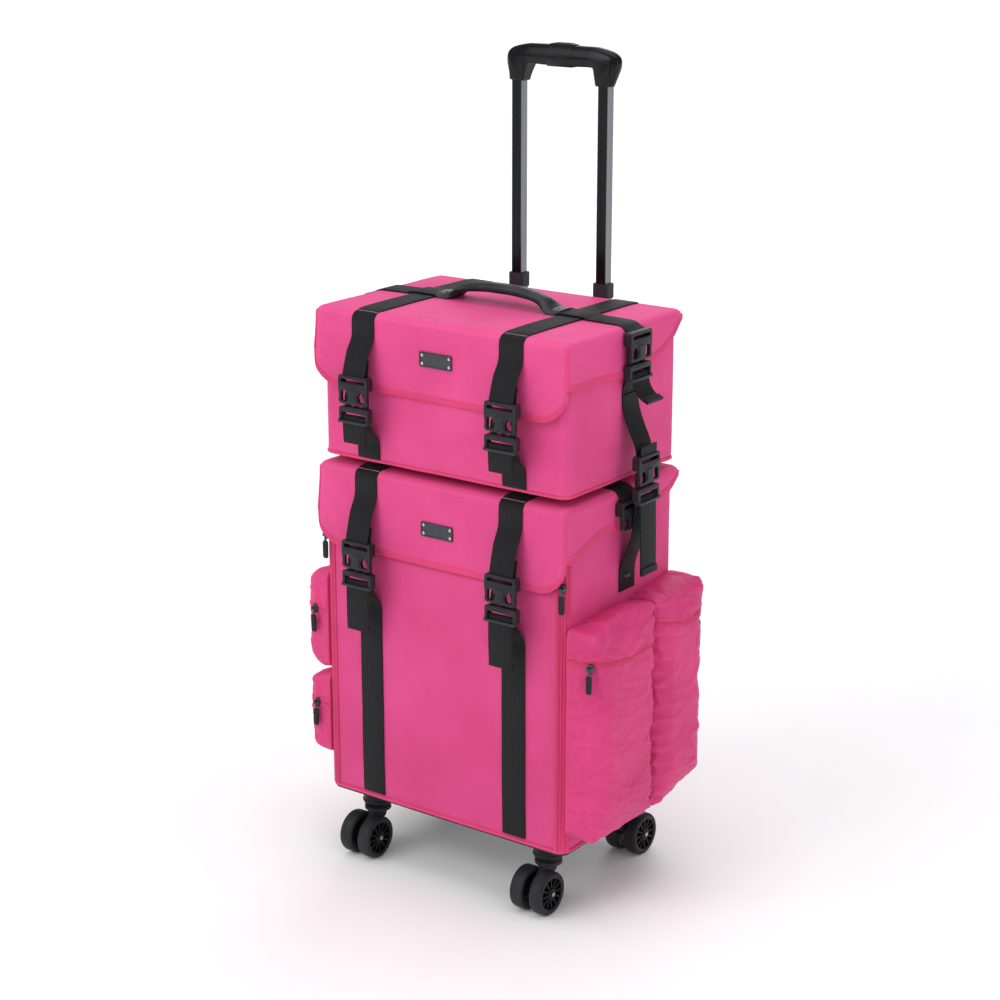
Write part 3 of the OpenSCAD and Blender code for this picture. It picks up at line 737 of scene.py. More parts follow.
def thicken(obj, thickness, inside=None):
    """Gives a sheet its thickness inwards; its inside takes the second material."""
    obj.data.materials.append(PINK)
    obj.data.materials.append(inside or LINING)
    solid = obj.modifiers.new("thickness", "SOLIDIFY")
    solid.thickness, solid.offset = thickness * MM, -1
    solid.use_even_offset, solid.use_quality_normals = False, True
    solid.material_offset = 1
    apply_modifiers(obj)
    smooth(obj, 50)


def creased(points, amount=1.0, seed=0):
    """How far cloth over board stands out from flat, in mm."""
    return amount * (0.9 * noise(points, 130, seed) + 0.35 * noise(points, 48, seed + 1)
                     + 0.10 * noise(points, 17, seed + 2))


def hump(v, low, high):
    """1 in the middle of a span, 0 at both ends."""
    t = np.clip((v - low) / (high - low), 0, 1)
    return 4 * t * (1 - t)


def corner_rise(x, reach):
    """How much higher a flap's lower edge is at x than in the middle."""
    over = np.clip(np.abs(x) - (reach - FLAP_R), 0, FLAP_R)
    return FLAP_R - np.sqrt(np.maximum(FLAP_R ** 2 - over ** 2, 0))


def lid_cloth(name, node, body, drop, middle_drop, seed):
    """A lid: crowned top, a front flap with rounded corners and two side flaps that rise to the rear."""
    low, high = corners(node)
    half, front, rear, top = high[0], -low[1], high[1], high[2]
    xs = lines([-half, -half + 18, half - 18, half], [2.2, 5, 2.2])
    ys = lines([-front, -front + 18, rear], [2.2, 5])
    ts = lines([0, 0.8, 1], [0.036, 0.022])
    points, faces, index = box_sheet(xs, ys, ts, ["front", "left", "right", "top"])
    x, y, t = points.T
    knots_y = [-front, -60, -20, 30, 85, rear - 12, rear]
    knots = [drop - FLAP_R, middle_drop - 4, middle_drop, middle_drop - 2, middle_drop - 18, 27, 9]
    fine_y = np.linspace(-front, rear, 200)
    fine = np.convolve(np.pad(np.interp(fine_y, knots_y, knots), 8, mode="edge"), np.ones(17) / 17, "valid")
    side_drop = np.interp(y, fine_y, fine)
    hang = np.where(y <= -front + 1e-6, drop - corner_rise(x, half), side_drop)
    flat = np.stack([x, y, top - (1 - t) * hang], axis=1)
    points = rounded_block(flat, low, high, (12, 12, 0), (12, 0, 10))
    obj = sheet_object(name, points, faces)
    n = normals(obj)
    low_down = (1 - t) ** 1.6
    at_corner = np.exp(-((np.abs(x) - half) ** 2 + (y + front) ** 2) / 55.0 ** 2)
    crown = 1.6 * hump(x, -half, half) * hump(y, -front, rear + 40) * (t > 0.999)
    flare = 4.5 * low_down * at_corner
    waves = low_down * (1.3 * noise(points, 60, seed + 7))
    calm = smoothstep(0, 22, rear - y)
    points = points + n * ((creased(points, 0.75, seed) + crown + waves) * calm + flare)[:, None]
    set_coordinates(obj, points)
    n = normals(obj)
    last = len(ys) - 1
    rim = ([(0, j) for j in range(last, -1, -1)] + [(i, 0) for i in range(1, len(xs))]
           + [(len(xs) - 1, j) for j in range(1, last + 1)])
    ids = [index[i, j, 0] for i, j in rim]
    above = [index[i, j, 2] for i, j in rim]
    edge = {"points": points[ids], "out": n[ids], "up": unit(points[above] - points[ids])}
    fold = [index[i, j, len(ts) - 5] for i, j in rim]
    edge["fold"], edge["fold_out"] = points[fold], n[fold]
    seam_rows = [k for k in range(1, len(ts) - 3)]
    edge["seams"] = [(points[[index[i, 0, k] for k in seam_rows]], n[[index[i, 0, k] for k in seam_rows]])
                     for i in (0, len(xs) - 1)]
    face = Surface(obj)
    thicken(obj, LID_SHEET)
    finish_piece(obj, body, [node])
    trim_lid(name, edge, body)
    return face


def trim_lid(name, edge, body):
    """Binding sewn round the flaps' edge, a stitched fold, and a welt down each front corner."""
    profile = bar_profile(9.2, LID_SHEET + 1.9, 1.6) + np.array([3.6, -LID_SHEET / 2])
    band = Build().add(sweep(edge["points"], profile, edge["up"], edge["out"]))
    band.make(name + "_binding", TRIM, body)
    welts = Build()
    for path, out in edge["seams"]:
        welts.add(cord(path + out * 0.2, 1.3, out))
    welts.make(name + "_corner_welts", TRIM, body)
    on_band = edge["points"] + edge["up"] * 6.4 + edge["out"] * 1.15
    rows = [(on_band, edge["out"]), (edge["fold"] + edge["fold_out"] * 0.25, edge["fold_out"])]
    stitches(name + "_stitching", rows, THREAD, body)


def shell_cloth(name, node, body, seed, door=None):
    """A case body: open box of padded cloth walls with rounded corners, and the doorway if it has one."""
    low, high = corners(node)
    half, deep = high[0], high[1]
    xs = lines([-half, -half + 15, half - 15, half], [1.9, 6, 1.9])
    ys = lines([-deep, -deep + 15, deep - 15, deep], [1.9, 6, 1.9])
    if door:
        rows = lines([low[2], door[0], door[0] + 20, door[1] - 20, door[1], door[1] + 20, high[2]],
                     [2, 4, 6, 4, 4, 6])
    else:
        rows = lines([low[2], low[2] + 12, high[2]], [2, 6])

    def keep(side, quad):
        middle = np.mean(quad, axis=0)
        inside = door and side == "front" and abs(middle[0]) < half - 14.5 and door[0] < middle[2] < door[1]
        return not inside

    points, faces, _ = box_sheet(xs, ys, rows, ["bottom", "front", "back", "left", "right"], keep)
    if door:
        lift = corner_rise(points[:, 0], LID_X) * np.exp(-((points[:, 2] - door[1]) / 22) ** 2)
        points[:, 2] += lift * (points[:, 1] < -deep + 0.1)
    points = rounded_block(points, low, high, (CORNER_R, CORNER_R, 5), (CORNER_R, CORNER_R, 0))
    obj = sheet_object(name, points, faces)
    x, y, z = points.T
    upright = hump(z, low[2], high[2])
    bulge = upright * (2.4 * hump(y, -deep, deep) * (np.abs(x) > half - 2)
                       + 2.0 * hump(x, -half, half) * (np.abs(y) > deep - 2))
    free = smoothstep(low[2], low[2] + 14, z)
    points = points + normals(obj) * ((creased(points, 0.8, seed) + bulge) * free)[:, None]
    set_coordinates(obj, points)
    face = Surface(obj)
    thicken(obj, WALL)
    finish_piece(obj, body, [node])
    return face


def base_piping(name, z, body, inset=0.5, r=2.4):
    """Piping round the bottom edge of a case."""
    half, deep, c = CASE_X - inset, CASE_Y - inset, CORNER_R
    loop = []
    for cx, cy, start in ((half - c, deep - c, 0), (-half + c, deep - c, 90),
                          (-half + c, -deep + c, 180), (half - c, -deep + c, 270)):
        loop += [(px, py, z) for px, py in arc(cx, cy, c, start, start + 90, 7)]
    loop.append(loop[0])
    path = resampled(np.array(loop, float), 5)[:-1]
    path[:, 2] += 0.5 * noise(path, 40, 5)
    return Build().add(cord(path, r, Z, closed=True, count=10)).make(name, TRIM, body)


TRUNK_TOP, VANITY_TOP = TRUNK_LID_HIGH[2], VANITY_LID_HIGH[2]
FLAP_LOW = TRUNK_LID_LOW[2]
DOOR_TOP = FLAP_LOW - 2
shell_cloth("trunk_body", "trunk_shell", "trunk", 11, (DOOR_LOW[2] - 0.5, DOOR_TOP + 1))
vanity_face = shell_cloth("vanity_body", "vanity_shell", "vanity_case", 23)
trunk_lid_face = lid_cloth("trunk_lid_cloth", "trunk_lid", "trunk_lid", TRUNK_TOP - FLAP_LOW, 53, 31)
vanity_lid_face = lid_cloth("vanity_lid_cloth", "vanity_lid", "vanity_lid",
                            VANITY_TOP - VANITY_LID_LOW[2], 66, 47)
base_piping("trunk_base_piping", TRUNK_LOW[2] + 1.5, "trunk")
base_piping("vanity_base_piping", VANITY_LOW[2] + 1.5, "vanity_case")


# ---- zips ----

def zip_band(name, spots, out, body, width=13.0):
    """A zip laid along a line on a surface: two welted tapes, the coil between them and its stitching."""
    t = tangents(spots)
    side = unit(np.cross(out, t))
    across = np.linspace(-width / 2, width / 2, 27)
    welts = sum(np.exp(-((np.abs(across) - at * width) / 0.9) ** 2) for at in (0.17, 0.40))
    top = np.stack([across, 0.45 + 0.9 * welts - 0.5 * (np.abs(across) > width / 2 - 0.1)], axis=1)
    under = np.array([(width / 2, -0.6), (-width / 2, -0.6)])
    Build().add(sweep(spots, np.vstack([top, under]), side, out)).make(name + "_tape", TRIM, body)
    Build().add(cord(spots + out * 0.55, 0.95, out)).make(name + "_coil", COIL, body)
    rows = [(spots + side * s * width * 0.285 + out * 0.65, out) for s in (-1, 1)]
    stitches(name + "_stitching", rows, THREAD, body, 3.2, 2.1, 0.3)


def corner_zip(name, sign):
    """The door's zip: tapes that wrap the trunk's rounded front corner, with the coil beside the door."""
    cx, cy = sign * (CASE_X - CORNER_R), -(CASE_Y - CORNER_R)
    degrees = np.linspace(-3, 84, 60)
    welts = sum(np.exp(-((degrees - at) / 4.6) ** 2) for at in (8, 30, 50, 72))
    r = CORNER_R + 0.9 + 1.2 * welts
    a = np.radians(degrees)
    outer = np.stack([r * np.sin(a), r * np.cos(a)], axis=1)
    inner = (outer / r[:, None] * (CORNER_R - 0.4))[::-1]
    zs = np.arange(DOOR_LOW[2] - 1, FLAP_LOW + 36, 5.0)
    path = np.stack([np.full(len(zs), cx), np.full(len(zs), cy), zs], axis=1)
    path[:, 1] += 0.3 * noise(path, 45, 3)
    Build().add(sweep(path, np.vstack([outer, inner]), sign * X, -Y)).make(name + "_tape", TRIM, "trunk")
    at = np.radians(19)
    line = path + (CORNER_R + 1.0) * (math.sin(at) * sign * X - math.cos(at) * Y)
    Build().add(cord(line, 1.1, X)).make(name + "_coil", COIL, "trunk")
    rows = []
    for degree in (40, 61):
        d = math.sin(math.radians(degree)) * sign * X - math.cos(math.radians(degree)) * Y
        rows.append((path + d * (CORNER_R + 1.15), np.broadcast_to(d, path.shape)))
    stitches(name + "_stitching", rows, THREAD, "trunk", 3.2, 2.1, 0.3)


def slider_shape():
    """A zip slider in (along the cloth, up, outward), with the bridge its pull hangs on."""
    out = Build()
    half = [(0, 7), (3.2, 6.4), (4.6, 3.5), (4.2, 0), (3.6, -3.5), (2.6, -6), (0, -6.4)]
    ring = half + [(-x, y) for x, y in reversed(half[1:-1])]
    out.add(plate([rounded_outline(ring, 1.0)], -1.2, 3.0, 0.8))
    for x in (-3.5, 3.5):
        out.add(block((x - 0.75, -2.6, 1.5), (x + 0.75, 2.6, 6.6), 0.6))
    pin = cord(np.array([(-4.2, 0, 5.5), (0, 0, 5.5), (4.2, 0, 5.5)]), 0.95, Z)
    return out.add(pin)


def pull_shape():
    """The ring on the pin, its shank, and a ribbed tab."""
    metal, tab = Build(), Build()
    loop = np.array([(0, math.sin(a) * 1.65, 5.5 + math.cos(a) * 1.65)
                     for a in np.linspace(0, 2 * math.pi, 20, endpoint=False)])
    metal.add(sweep(loop, bar_profile(4.2, 1.1, 0.5), X, unit(loop - np.array([0, 0, 5.5])), closed=True))
    shank = [(-1.6, -1.6), (1.6, -1.6), (2.2, -9.5), (-2.2, -9.5)]
    metal.add(plate([rounded_outline(shank, 0.6)], 4.8, 6.2, 0.4))
    outline = [(-2.6, -8), (2.6, -8), (4.3, -11), (4.1, -31), (3.0, -33.6), (-3.0, -33.6), (-4.1, -31),
               (-4.3, -11)]
    tab.add(plate([rounded_outline(outline, 1.2)], 4.0, 7.0, 0.8))
    for k in range(9):
        v = -13 - 2.1 * k
        tab.add(block((-3.1, v - 0.5, 6.6), (3.1, v + 0.5, 7.4), 0.35))
    return metal, tab


def add_all(target, source, origin, right, up, outside, slot=0):
    for points, place, faces in split_shapes(source):
        target.add(placed((points, faces), origin, right, up, outside), slot, place)


def split_shapes(source):
    return [(np.vstack(source.points), np.vstack(source.place), source.faces)]


def hung(name, node, origin, right, up, outside):
    metal, tab = pull_shape()
    out = Build()
    add_all(out, metal, origin, right, up, outside, 0)
    add_all(out, tab, origin, right, up, outside, 1)
    out.make(name, [ZIP_METAL, PLASTIC], node, [node], "zip_metal")


# ---- front door ----

def door_cloth():
    half, front, low = DOOR_HIGH[0], -DOOR_LOW[1], DOOR_LOW[2]
    xs = lines([-half, -half + 6, half - 6, half], [1.5, 6, 1.5])
    ts = lines([0, 0.02, 0.98, 1], [0.006, 0.016, 0.006])
    points, faces, _ = box_sheet(xs, [-front, 0], ts, ["front"])
    x, t = points[:, 0], points[:, 2]
    top = DOOR_TOP + corner_rise(x, LID_X)
    z = low + t * (top - low)
    edge = np.minimum.reduce([half - np.abs(x), z - low, top - z])
    flat = np.stack([x, np.full(len(x), -front), z], axis=1)
    puff = 2.4 * hump(x, -CASE_X, CASE_X) * hump(z, low - 4, TRUNK_HIGH[2]) + creased(flat, 0.9, 71)
    flat[:, 1] += 1.5 * (1 - smoothstep(0, 4, edge)) - puff * smoothstep(0, 12, edge)
    obj = sheet_object("door_cloth", flat, faces)
    face = Surface(obj)
    thicken(obj, WALL - 0.6)
    finish_piece(obj, "front_door", ["door_panel"])
    rows = []
    for sign in (-1, 1):
        start = [(sign * 180.5, -front - 30, z) for z in np.arange(low + 3, DOOR_TOP - 1, 3.0)]
        rows.append(face.cast(start, (0, 1, 0), 0.15))
    stitches("door_stitching", rows, THREAD, "front_door", 4.2, 2.9, 0.42)
    return face


COIL = coil_material()
door_face = door_cloth()
corner_zip("door_zip_left", -1)
corner_zip("door_zip_right", 1)


# ---- pockets ----

def inflate(obj, pinned, pressure, spare):
    """Lets the cloth settle under air pressure with the pinned points held; spare is its extra length."""
    group = obj.vertex_groups.new(name="pin")
    group.add([int(i) for i in np.nonzero(pinned)[0]], 1.0, "REPLACE")
    cloth = obj.modifiers.new("cloth", "CLOTH")
    settings = cloth.settings
    settings.quality = 6
    settings.mass = 0.25
    settings.vertex_group_mass = "pin"
    settings.tension_stiffness = settings.compression_stiffness = 20
    settings.shear_stiffness = 8
    settings.bending_stiffness = 0.4
    settings.air_damping = 4
    settings.use_pressure = True
    settings.uniform_pressure_force = pressure
    settings.shrink_min = -spare
    settings.effector_weights.gravity = 0
    cloth.collision_settings.use_collision = False
    cloth.collision_settings.use_self_collision = False
    cloth.point_cache.frame_start, cloth.point_cache.frame_end = 1, 20
    scene = bpy.context.scene
    for f in range(1, 21):
        scene.frame_set(f)
        bpy.context.evaluated_depsgraph_get()
    graph = bpy.context.evaluated_depsgraph_get()
    mesh = obj.evaluated_get(graph).data
    co = np.empty(len(mesh.vertices) * 3, np.float32)
    mesh.vertices.foreach_get("co", co)
    obj.modifiers.remove(cloth)
    obj.vertex_groups.clear()
    scene.frame_set(1)
    set_coordinates(obj, co.reshape(-1, 3).astype(float) / MM)


def crest(points, size, seed):
    """Thin winding ridges, 0 to 1, about size mm apart."""
    return np.maximum(0, 1 - np.abs(noise(points, size, seed)) / 0.22) ** 1.5


def pocket(name, node, sign, shape, seed, limits, dent, radii, pressure=3.0, spare=0.02):
    """A filled pocket: a rounded block shaped by a function, inflated as cloth, then creased.
    limits are the lowest and highest y it may reach, dent presses flat where its pull hangs, and radii are
    those of its outer, upright and lower edges."""
    low, high = corners(node)
    xs = lines([low[0], high[0]], [5])
    ys = lines([low[1], high[1]], [5])
    zs = lines([low[2], high[2]], [5])
    points, faces, _ = box_sheet(xs, ys, zs, ["front", "back", "left", "right", "bottom", "top"])
    wall = low[0] if sign > 0 else high[0]
    held = np.abs(points[:, 0] - wall) < 0.1
    r_low, r_high = [0, radii[1], radii[2]], [0, radii[1], 13]
    (r_high if sign > 0 else r_low)[0] = radii[0]
    points = rounded_block(points, low, high, r_low, r_high)
    points = shape(points, np.abs(points[:, 0] - wall) / (high[0] - low[0]), low, high)
    obj = sheet_object(name, points, faces)
    base = points.copy()
    inflate(obj, held, pressure, spare)
    points = coordinates(obj)
    move = points - base
    length = np.linalg.norm(move, axis=1)
    move *= (np.minimum(length, 11) / np.maximum(length, 1e-6))[:, None]
    set_coordinates(obj, base + move)
    surf = obj.modifiers.new("finer", "SUBSURF")
    surf.levels = surf.render_levels = 1
    apply_modifiers(obj)
    points, n = coordinates(obj), normals(obj)
    free = smoothstep(0, 16, np.abs(points[:, 0] - wall))
    stretched = points * np.array([1, 0.55, 1.7])
    folds = (1.5 * noise(stretched, 42, seed) + 0.9 * noise(stretched, 19, seed + 1)
             + 0.45 * noise(points * np.array([1, 1.6, 0.8]), 9, seed + 2))
    slanted = points @ np.array([[0.5, 0, 0], [0, 0.55, 0.5], [0, -0.7, 1.5]])
    warped = slanted + 7 * noise(points, 33, seed + 3)[:, None]
    folds += 1.9 * crest(warped, 46, seed + 4) - 1.4 * crest(warped * np.array([1, -1, 1]), 30, seed + 5)
    if sign > 0:
        gather = np.exp(-np.abs(points[:, 1] - meet) / 17)
        folds += 2.0 * gather * np.sin(2 * math.pi * points[:, 2] / 19 + 2.5 * noise(points, 40, seed + 6))
    points += n * (folds * free)[:, None]
    points[:, 1] = np.clip(points[:, 1], *limits)
    dent(points)
    set_coordinates(obj, points)
    obj.data.materials.append(POCKET_PINK_WITH_PAINTED_SHADE)
    smooth(obj, 70)
    face = Surface(obj)
    finish_piece(obj, "trunk", [node])
    return face


def right_shape(points, u, low, high):
    """Deeper to the rear, with a bottom that slants up to the rear and a top that rises to it."""
    _, y, z = points.T
    bottom = 1 - smoothstep(low[2], low[2] + 95, z)
    top = smoothstep(high[2] - 70, high[2], z)
    outer_rise = np.interp(y, [-CASE_Y, 12, CASE_Y], [17, 20, 45])
    wall_drop = np.interp(y, [-CASE_Y, 20, CASE_Y], [17, 13, 1])
    outer_drop = np.interp(y, [-CASE_Y, -90, 12, CASE_Y], [22, 12, 3, 4])
    points = points.copy()
    points[:, 0] += u * np.interp(y, [-CASE_Y, CASE_Y], [-4, 1.5])
    points[:, 2] += bottom * (20 * (1 - u) + outer_rise * u) - top * (wall_drop * (1 - u) + outer_drop * u)
    return points


def left_shape(points, u, low, high):
    """A slight slant inwards at the bottom and the top."""
    z = points[:, 2]
    bottom = 1 - smoothstep(low[2], low[2] + 50, z)
    top = smoothstep(high[2] - 45, high[2], z)
    points = points.copy()
    points[:, 2] += bottom * 12 * u ** 2 - top * 10 * u ** 2
    return points


def flat_end(face_y, x):
    """Keeps a pocket's end face flat where its slider and pull lie, beyond x."""
    def dent(points):
        near = smoothstep(abs(x) - 16, abs(x) - 8, np.abs(points[:, 0]))
        beyond = (points[:, 1] - face_y) * np.sign(face_y) + 0.2
        points[:, 1] -= np.sign(face_y) * np.maximum(beyond, 0) * near
    return dent


# The pockets' fabric: smoother and finer than the case's, and darker, partly its own tone and partly painted
# shade for the case's sides.
POCKET_PINK_WITH_PAINTED_SHADE = cloth_material("pocket_fabric", (0.66, 0.036, 0.180), (0.52, 0.022, 0.130), (0.82, 0.12, 0.33),
                             sheen=0.22, rough=0.5, period=0.9)
meet = (corners("right_front_pocket")[1][1] + corners("right_rear_pocket")[0][1]) / 2
RIGHT_PULL_X = float(np.mean([c[0] for c in corners("pull_right_front")]))
LEFT_PULL_X = float(np.mean([c[0] for c in corners("pull_left_upper")]))
REAR_FACE = corners("right_rear_pocket")[1][1]
front_pocket = pocket("right_front_pocket_cloth", "right_front_pocket", 1, right_shape, 101,
                      (-CASE_Y - 3, meet - 0.2), flat_end(-CASE_Y, RIGHT_PULL_X), (10, 8, 5))
rear_pocket = pocket("right_rear_pocket_cloth", "right_rear_pocket", 1, right_shape, 137,
                     (meet + 0.2, REAR_FACE + 4), flat_end(REAR_FACE, RIGHT_PULL_X), (10, 8, 5))
upper_pocket = pocket("left_upper_pocket_cloth", "left_upper_pocket", -1, left_shape, 171,
                      (-CASE_Y - 4, CASE_Y - 12), flat_end(-CASE_Y, LEFT_PULL_X), (17, 13, 11))
lower_pocket = pocket("left_lower_pocket_cloth", "left_lower_pocket", -1, left_shape, 193,
                      (-CASE_Y - 4, CASE_Y - 12), flat_end(-CASE_Y, LEFT_PULL_X), (17, 13, 11))


def wrapped_line(face, corner, middle, passes=4):
    """A line on a pocket that turns round its upright edges, found by rays from a path to a middle line."""
    target = np.clip(corner, *middle)
    target[:, 2] = corner[:, 2]
    spots, out = [], []
    for p, q in zip(corner, target):
        spot, normal = face.cast([p], unit(q - p), -0.2)
        spots.append(spot[0])
        out.append(normal[0])
    spots, out = np.array(spots), np.array(out)
    for _ in range(passes):
        spots[1:-1] = (spots[:-2] + 2 * spots[1:-1] + spots[2:]) / 4
        out[1:-1] = (out[:-2] + 2 * out[1:-1] + out[2:]) / 4
    return spots, unit(out)


UPPER_ZIP_Z, LOWER_ZIP_Z = 363.0, 221.0


def right_zips():
    wall, outer = CASE_X + 5, 282.0
    front = rounded_path([(wall, -152, 381), (outer - 14, -152, 382), (outer, -138, 382), (outer, -60, 375.5),
                          (outer, meet - 4, 379)], 3, 3.5)
    rear = rounded_path([(outer, meet + 4, 399), (outer, 62, 388), (outer, 136, 391), (outer - 14, 150, 391),
                         (wall, 150, 391)], 3, 3.5)
    for name, face, line, middle in (
            ("front_pocket_zip", front_pocket, front, ((wall, -112, 0), (236, meet - 4, 900))),
            ("rear_pocket_zip", rear_pocket, rear, ((wall, meet + 4, 0), (236, 110, 900)))):
        spots, out = wrapped_line(face, line, middle)
        zip_band(name, spots, out, "trunk", 14.0)
        hem = wrapped_line(face, line - np.array([0, 0, 12]), middle)
        stitches(name + "_hem", [hem], THREAD, "trunk", 3.8, 2.6, 0.36)


def left_zips():
    for name, face, z in (("upper_pocket_zip", upper_pocket, UPPER_ZIP_Z),
                          ("lower_pocket_zip", lower_pocket, LOWER_ZIP_Z)):
        line = rounded_path([(-206, -150, z), (-252, -150, z), (-262, -140, z), (-262, 100, z)], 3, 3.5)
        spots, out = wrapped_line(face, line, ((-226, -114, 0), (-206, 90, 900)))
        zip_band(name, spots, out, "trunk", 11.0)


right_zips()
left_zips()


def gather_seam():
    """The gathered seam between the two right pockets."""
    zs = np.arange(corners("right_front_pocket")[0][2] + 30, 425, 4.0)
    spots = np.stack([np.full(len(zs), 300.0), np.full(len(zs), meet), zs], axis=1)
    left = front_pocket.cast(spots - np.array([0, 3.2, 0]), (-1, 0, 0))[0]
    right = rear_pocket.cast(spots + np.array([0, 3.2, 0]), (-1, 0, 0))[0]
    line = (left + right) / 2
    line[:, 1] = meet
    line[:, 0] -= 1.0
    for _ in range(6):
        line[1:-1] = (line[:-2] + 2 * line[1:-1] + line[2:]) / 4
    line[:, 0] += 0.6 * noise(line, 12, 8)
    Build().add(cord(line, 1.7, X)).make("pocket_seam", POCKET_PINK_WITH_PAINTED_SHADE, "trunk")


gather_seam()


def all_sliders():
    """Zip sliders and their pulls at the places the frame gives."""
    out = Build()
    places = []
    for node in ("pull_right_front", "pull_right_rear", "pull_left_upper", "pull_left_lower",
                 "pull_door_left", "pull_door_right"):
        low, high = corners(node)
        middle = (low + high) / 2
        way = 1 if middle[1] > 0 else -1
        face_y = (high if way > 0 else low)[1] - way * 7.8
        places.append((node, (middle[0], face_y, high[2] - 2.3), -way * X, way * Y))
    for node, origin, right, outside in places:
        add_all(out, slider_shape(), origin, right, Z, outside)
        hung(node, node, np.array(origin), right, Z, outside)
    out.make("zip_sliders", ZIP_METAL, "trunk", ["zip_sliders"], "zip_metal")


all_sliders()


# ---- cloth hinges ----

def cloth_hinge(name, body, z):
    """The strip of cloth, rolled along the turning line, that a lid is sewn on with."""
    path = lines([-CASE_X + 8, CASE_X - 8], [6])[:, None] * X + np.array([0, CASE_Y - 0.5, z])
    path[:, 2] += 0.25 * noise(path, 23, 5)
    Build().add(cord(path, 2.4, Z, count=10)).make(name, TRIM, body)


HINGE_LIFT = 1.0
cloth_hinge("trunk_lid_hinge_strip", "trunk", TRUNK_HIGH[2] + HINGE_LIFT)
cloth_hinge("vanity_lid_hinge_strip", "vanity_case", VANITY_HIGH[2] + HINGE_LIFT)


# ---- webbing ----

BAR_TURN = 3.5
FRONT_BAR_Y = 158.0
SOCKET_BAR, PLUG_BAR = 28.0, -26.0
TOP_BUCKLE_Z = VANITY_TOP - 113
DOOR_BUCKLE_Z = TRUNK_TOP - 127
SIDE_A = (CASE_X + 14, VANITY_TOP - 37)
SIDE_B = (CASE_X + 30, VANITY_LOW[2] + 5)
LOOSE = (CASE_X + 13, TRUNK_TOP - 45)
LOOSE_Y = -2.0


def draped(path, surfaces, lift=1.3, near=4.0, far=12.0):
    """Lays the parts of a path that run close to a surface on it, and evens the path out."""
    for surface in surfaces:
        spots, _ = surface.nearest(path, lift)
        share = 1 - smoothstep(near, far, np.linalg.norm(spots - path, axis=1))
        path = path * (1 - share)[:, None] + spots * share[:, None]
    for _ in range(3):
        path[1:-1] = (path[:-2] + 2 * path[1:-1] + path[2:]) / 4
    return path


def add_strap(out, path, side, width=STRAP_W, seed=0):
    """One length of webbing along a path, with a little unevenness."""
    t = tangents(path)
    side = np.broadcast_to(side, path.shape)
    up = unit(np.cross(t, side))
    wave = 0.35 * noise(path, 33, seed)
    out.add(sweep(path + up * wave[:, None] + side * (0.5 * noise(path, 60, seed + 3))[:, None],
                  bar_profile(width, 2.0, 0.9, 2), unit(np.cross(up, t)), up))


def strap_end(out, threads, path, side, seed=0):
    """The turned-over, sewn end of a loose strap: the path's last stretch, doubled."""
    t = tangents(path)
    up = unit(np.cross(t, side))
    last = path[-4:] + up[-4:] * 2.0
    add_strap(out, resampled(last, 2.5), side, seed=seed)
    for back in (2, 9):
        at = path[-1] - t[-1] * back
        across = np.linspace(-16, 16, 8)[:, None] * np.asarray(side) + at + up[-1] * 3.1
        threads.append((across, np.broadcast_to(up[-1], across.shape)))


def in_front(points, x):
    return np.array([(x, y, z) for y, z in points], float)


def at_side(points, y, sign=1):
    return np.array([(sign * x, y, z) for x, z in points], float)


def bar_turn(at, bar, way, side=1):
    """Four points round a bar: over it for way 1 and under it for -1, from its lower side for side 1."""
    return [(at - side * BAR_TURN, bar + way), (at - side, bar + way * BAR_TURN),
            (at + side, bar + way * BAR_TURN), (at + side * BAR_TURN, bar + way)]


def lid_path(top, buckle_z):
    bar, f = buckle_z + SOCKET_BAR, -FRONT_BAR_Y
    return [(CASE_Y - 3, top + 1), (-LID_FRONT - 1, top + 1), (-LID_FRONT - 3, top - 22),
            (f - BAR_TURN, bar + 4), *bar_turn(f, bar, -1), (f + BAR_TURN + 1, bar + 11),
            (f + BAR_TURN + 3.5, bar + 24)]


def front_path(bottom, leave, buckle_z, tail):
    bar, f, wall = buckle_z + PLUG_BAR, -FRONT_BAR_Y, -CASE_Y - 1
    return [(wall, bottom), (wall, leave), (f + BAR_TURN, bar - 3), *bar_turn(f, bar, 1, -1),
            (f - BAR_TURN - 1, bar - tail * 0.5), (f - BAR_TURN + 0.5, bar - tail)]


def front_straps(name, body, points, surfaces, seed, tail=False):
    out, threads = Build(), []
    for sign in (-1, 1):
        path = draped(rounded_path(in_front(points, sign * STRAP_X), 3, 3.0), surfaces)
        add_strap(out, path, X, seed=seed + sign)
        if tail:
            strap_end(out, threads, path, -X, seed)
        else:
            fold = [p for p in path if abs(p[1] + LID_FRONT - 3) < 6][:1]
            for p in fold:
                row = np.linspace(-17.5, 17.5, 14)[:, None] * X + p + np.array([0, -0.6, 1.3])
                threads.append((row, np.broadcast_to(unit([0, -0.5, 1]), row.shape)))
    out.make(name, WEBBING, body, [name], "webbing")
    stitches(name + "_stitching", threads, BLACK_THREAD if tail else PALE_THREAD, body, 2.9, 1.9, 0.3)


def side_straps(name, body, lists, y, surfaces, seed, cross=None):
    """Straps on both sides; cross, if given, is a path of its own that runs over the lid."""
    out, threads = Build(), []
    for points, is_tail in lists:
        for sign in (-1, 1):
            path = draped(rounded_path(at_side(points, y, sign), 3, 3.0), surfaces)
            add_strap(out, path, Y, seed=seed)
            if is_tail:
                strap_end(out, threads, path, Y * sign, seed)
    if cross is not None:
        add_strap(out, cross, Y, seed=seed + 5)
    out.make(name, WEBBING, body, [name], "webbing")
    if threads:
        stitches(name + "_stitching", threads, BLACK_THREAD, body, 2.9, 1.9, 0.3)


